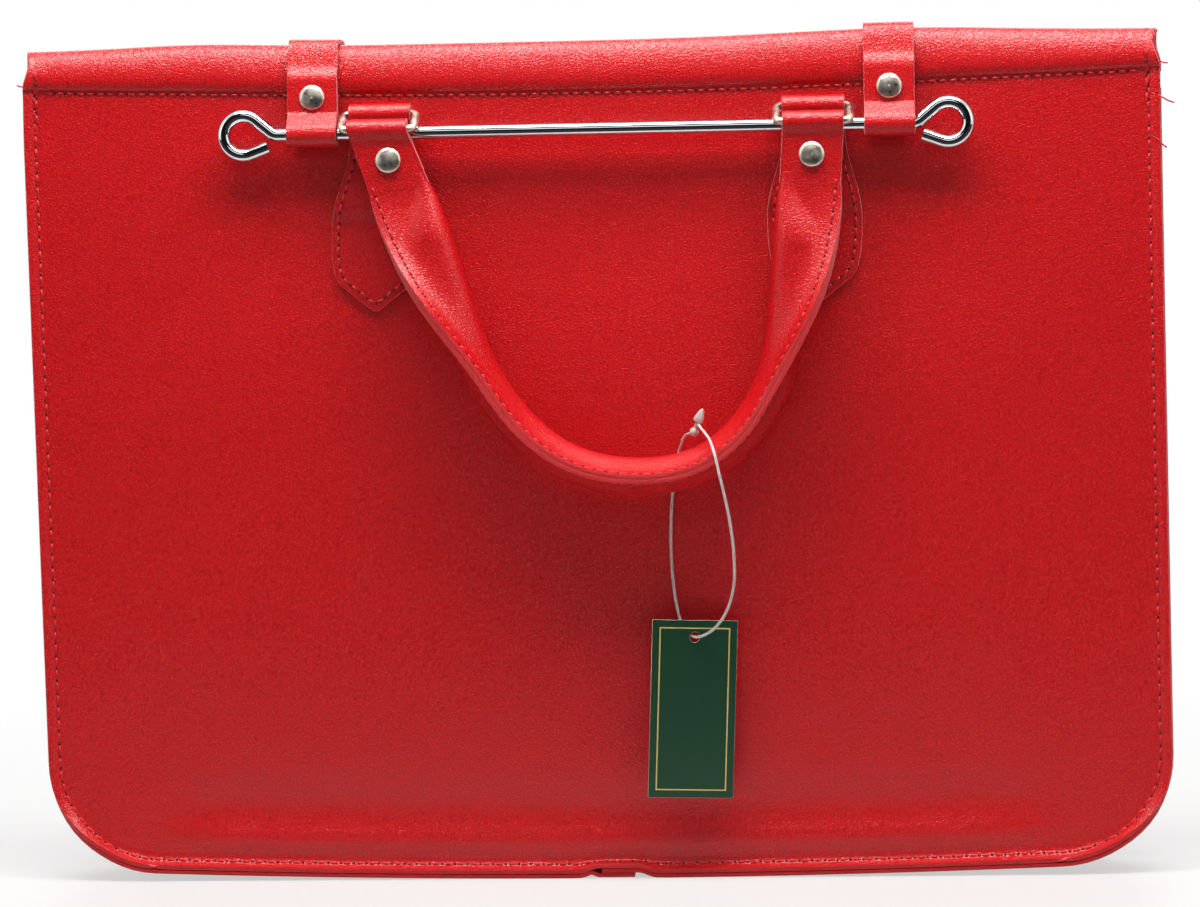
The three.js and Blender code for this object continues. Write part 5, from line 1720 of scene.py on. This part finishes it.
stage_plane("floor", FLOOR_SIZE, FLOOR_SIZE, floor_finish)

# %% Dark cloths behind the camera and on the floor before it, in metres
WALL_SIZE, WALL_PLACE = (5.0, 3.2), (0, -2.4, 1.6)
APRON_SIZE, APRON_PLACE = (5.0, 2.2), (0, -1.3, 0.001)
wall_finish, tree, shader = new_finish("wall_dark_cloth")
shader.inputs["Base Color"].default_value = tint("18181a")
shader.inputs["Roughness"].default_value = 1.0
wall = stage_plane("wall", *WALL_SIZE, wall_finish)
wall.rotation_euler = (math.pi / 2, 0, 0)
wall.location = WALL_PLACE
apron = stage_plane("apron", *APRON_SIZE, wall_finish)
apron.location = APRON_PLACE
for cloth in (wall, apron):
    cloth.visible_camera = False
    cloth.visible_diffuse = False
    cloth.visible_shadow = False

# %% World and lamps
WORLD_LIGHT = 0.13
world = bpy.data.worlds.new("studio")
bpy.context.scene.world = world
world.use_nodes = True
tree = world.node_tree
tree.nodes.clear()
strength = node(tree, "ShaderNodeMath", {
    0: seen_rays(tree), 1: WORLD_LIGHT,
}, operation="MAXIMUM")
sky = node(tree, "ShaderNodeBackground", {
    "Color": (1, 1, 1, 1), "Strength": strength.outputs["Value"],
})
node(tree, "ShaderNodeOutputWorld", {"Surface": sky.outputs["Background"]})


def softbox(name, place, target, size, power):
    """A rectangular area lamp aimed at a target."""
    data = bpy.data.lights.new(name, "AREA")
    data.shape = "RECTANGLE"
    data.size, data.size_y = size
    data.energy = power
    lamp = new_object(name, data)
    lamp.location = place
    lamp.visible_camera = False
    lamp.rotation_euler = (Vector(target) - Vector(place)).to_track_quat("-Z", "Y").to_euler()
    print(name, power, "W")


for name, place, target, size, power in (
    ("lamp_top", (0.02, -0.215, 0.86), (0.02, -0.02, 0.24), (0.85, 0.26), 11.5),
    ("lamp_fill", (0.0, -1.25, 0.85), (0, 0, 0.24), (0.7, 0.4), 1.0),
    ("lamp_left", (-1.45, -0.75, 0.75), (0, 0, 0.14), (0.5, 0.9), 1.1),
    ("lamp_right", (1.5, -0.7, 0.8), (0, 0, 0.14), (0.5, 0.9), 1.1),
    ("lamp_back", (0.0, 1.2, 1.1), (0, 0, 0.14), (1.4, 0.7), 10),
):
    softbox(name, place, target, size, power)
bpy.context.scene.view_settings.view_transform = "Standard"
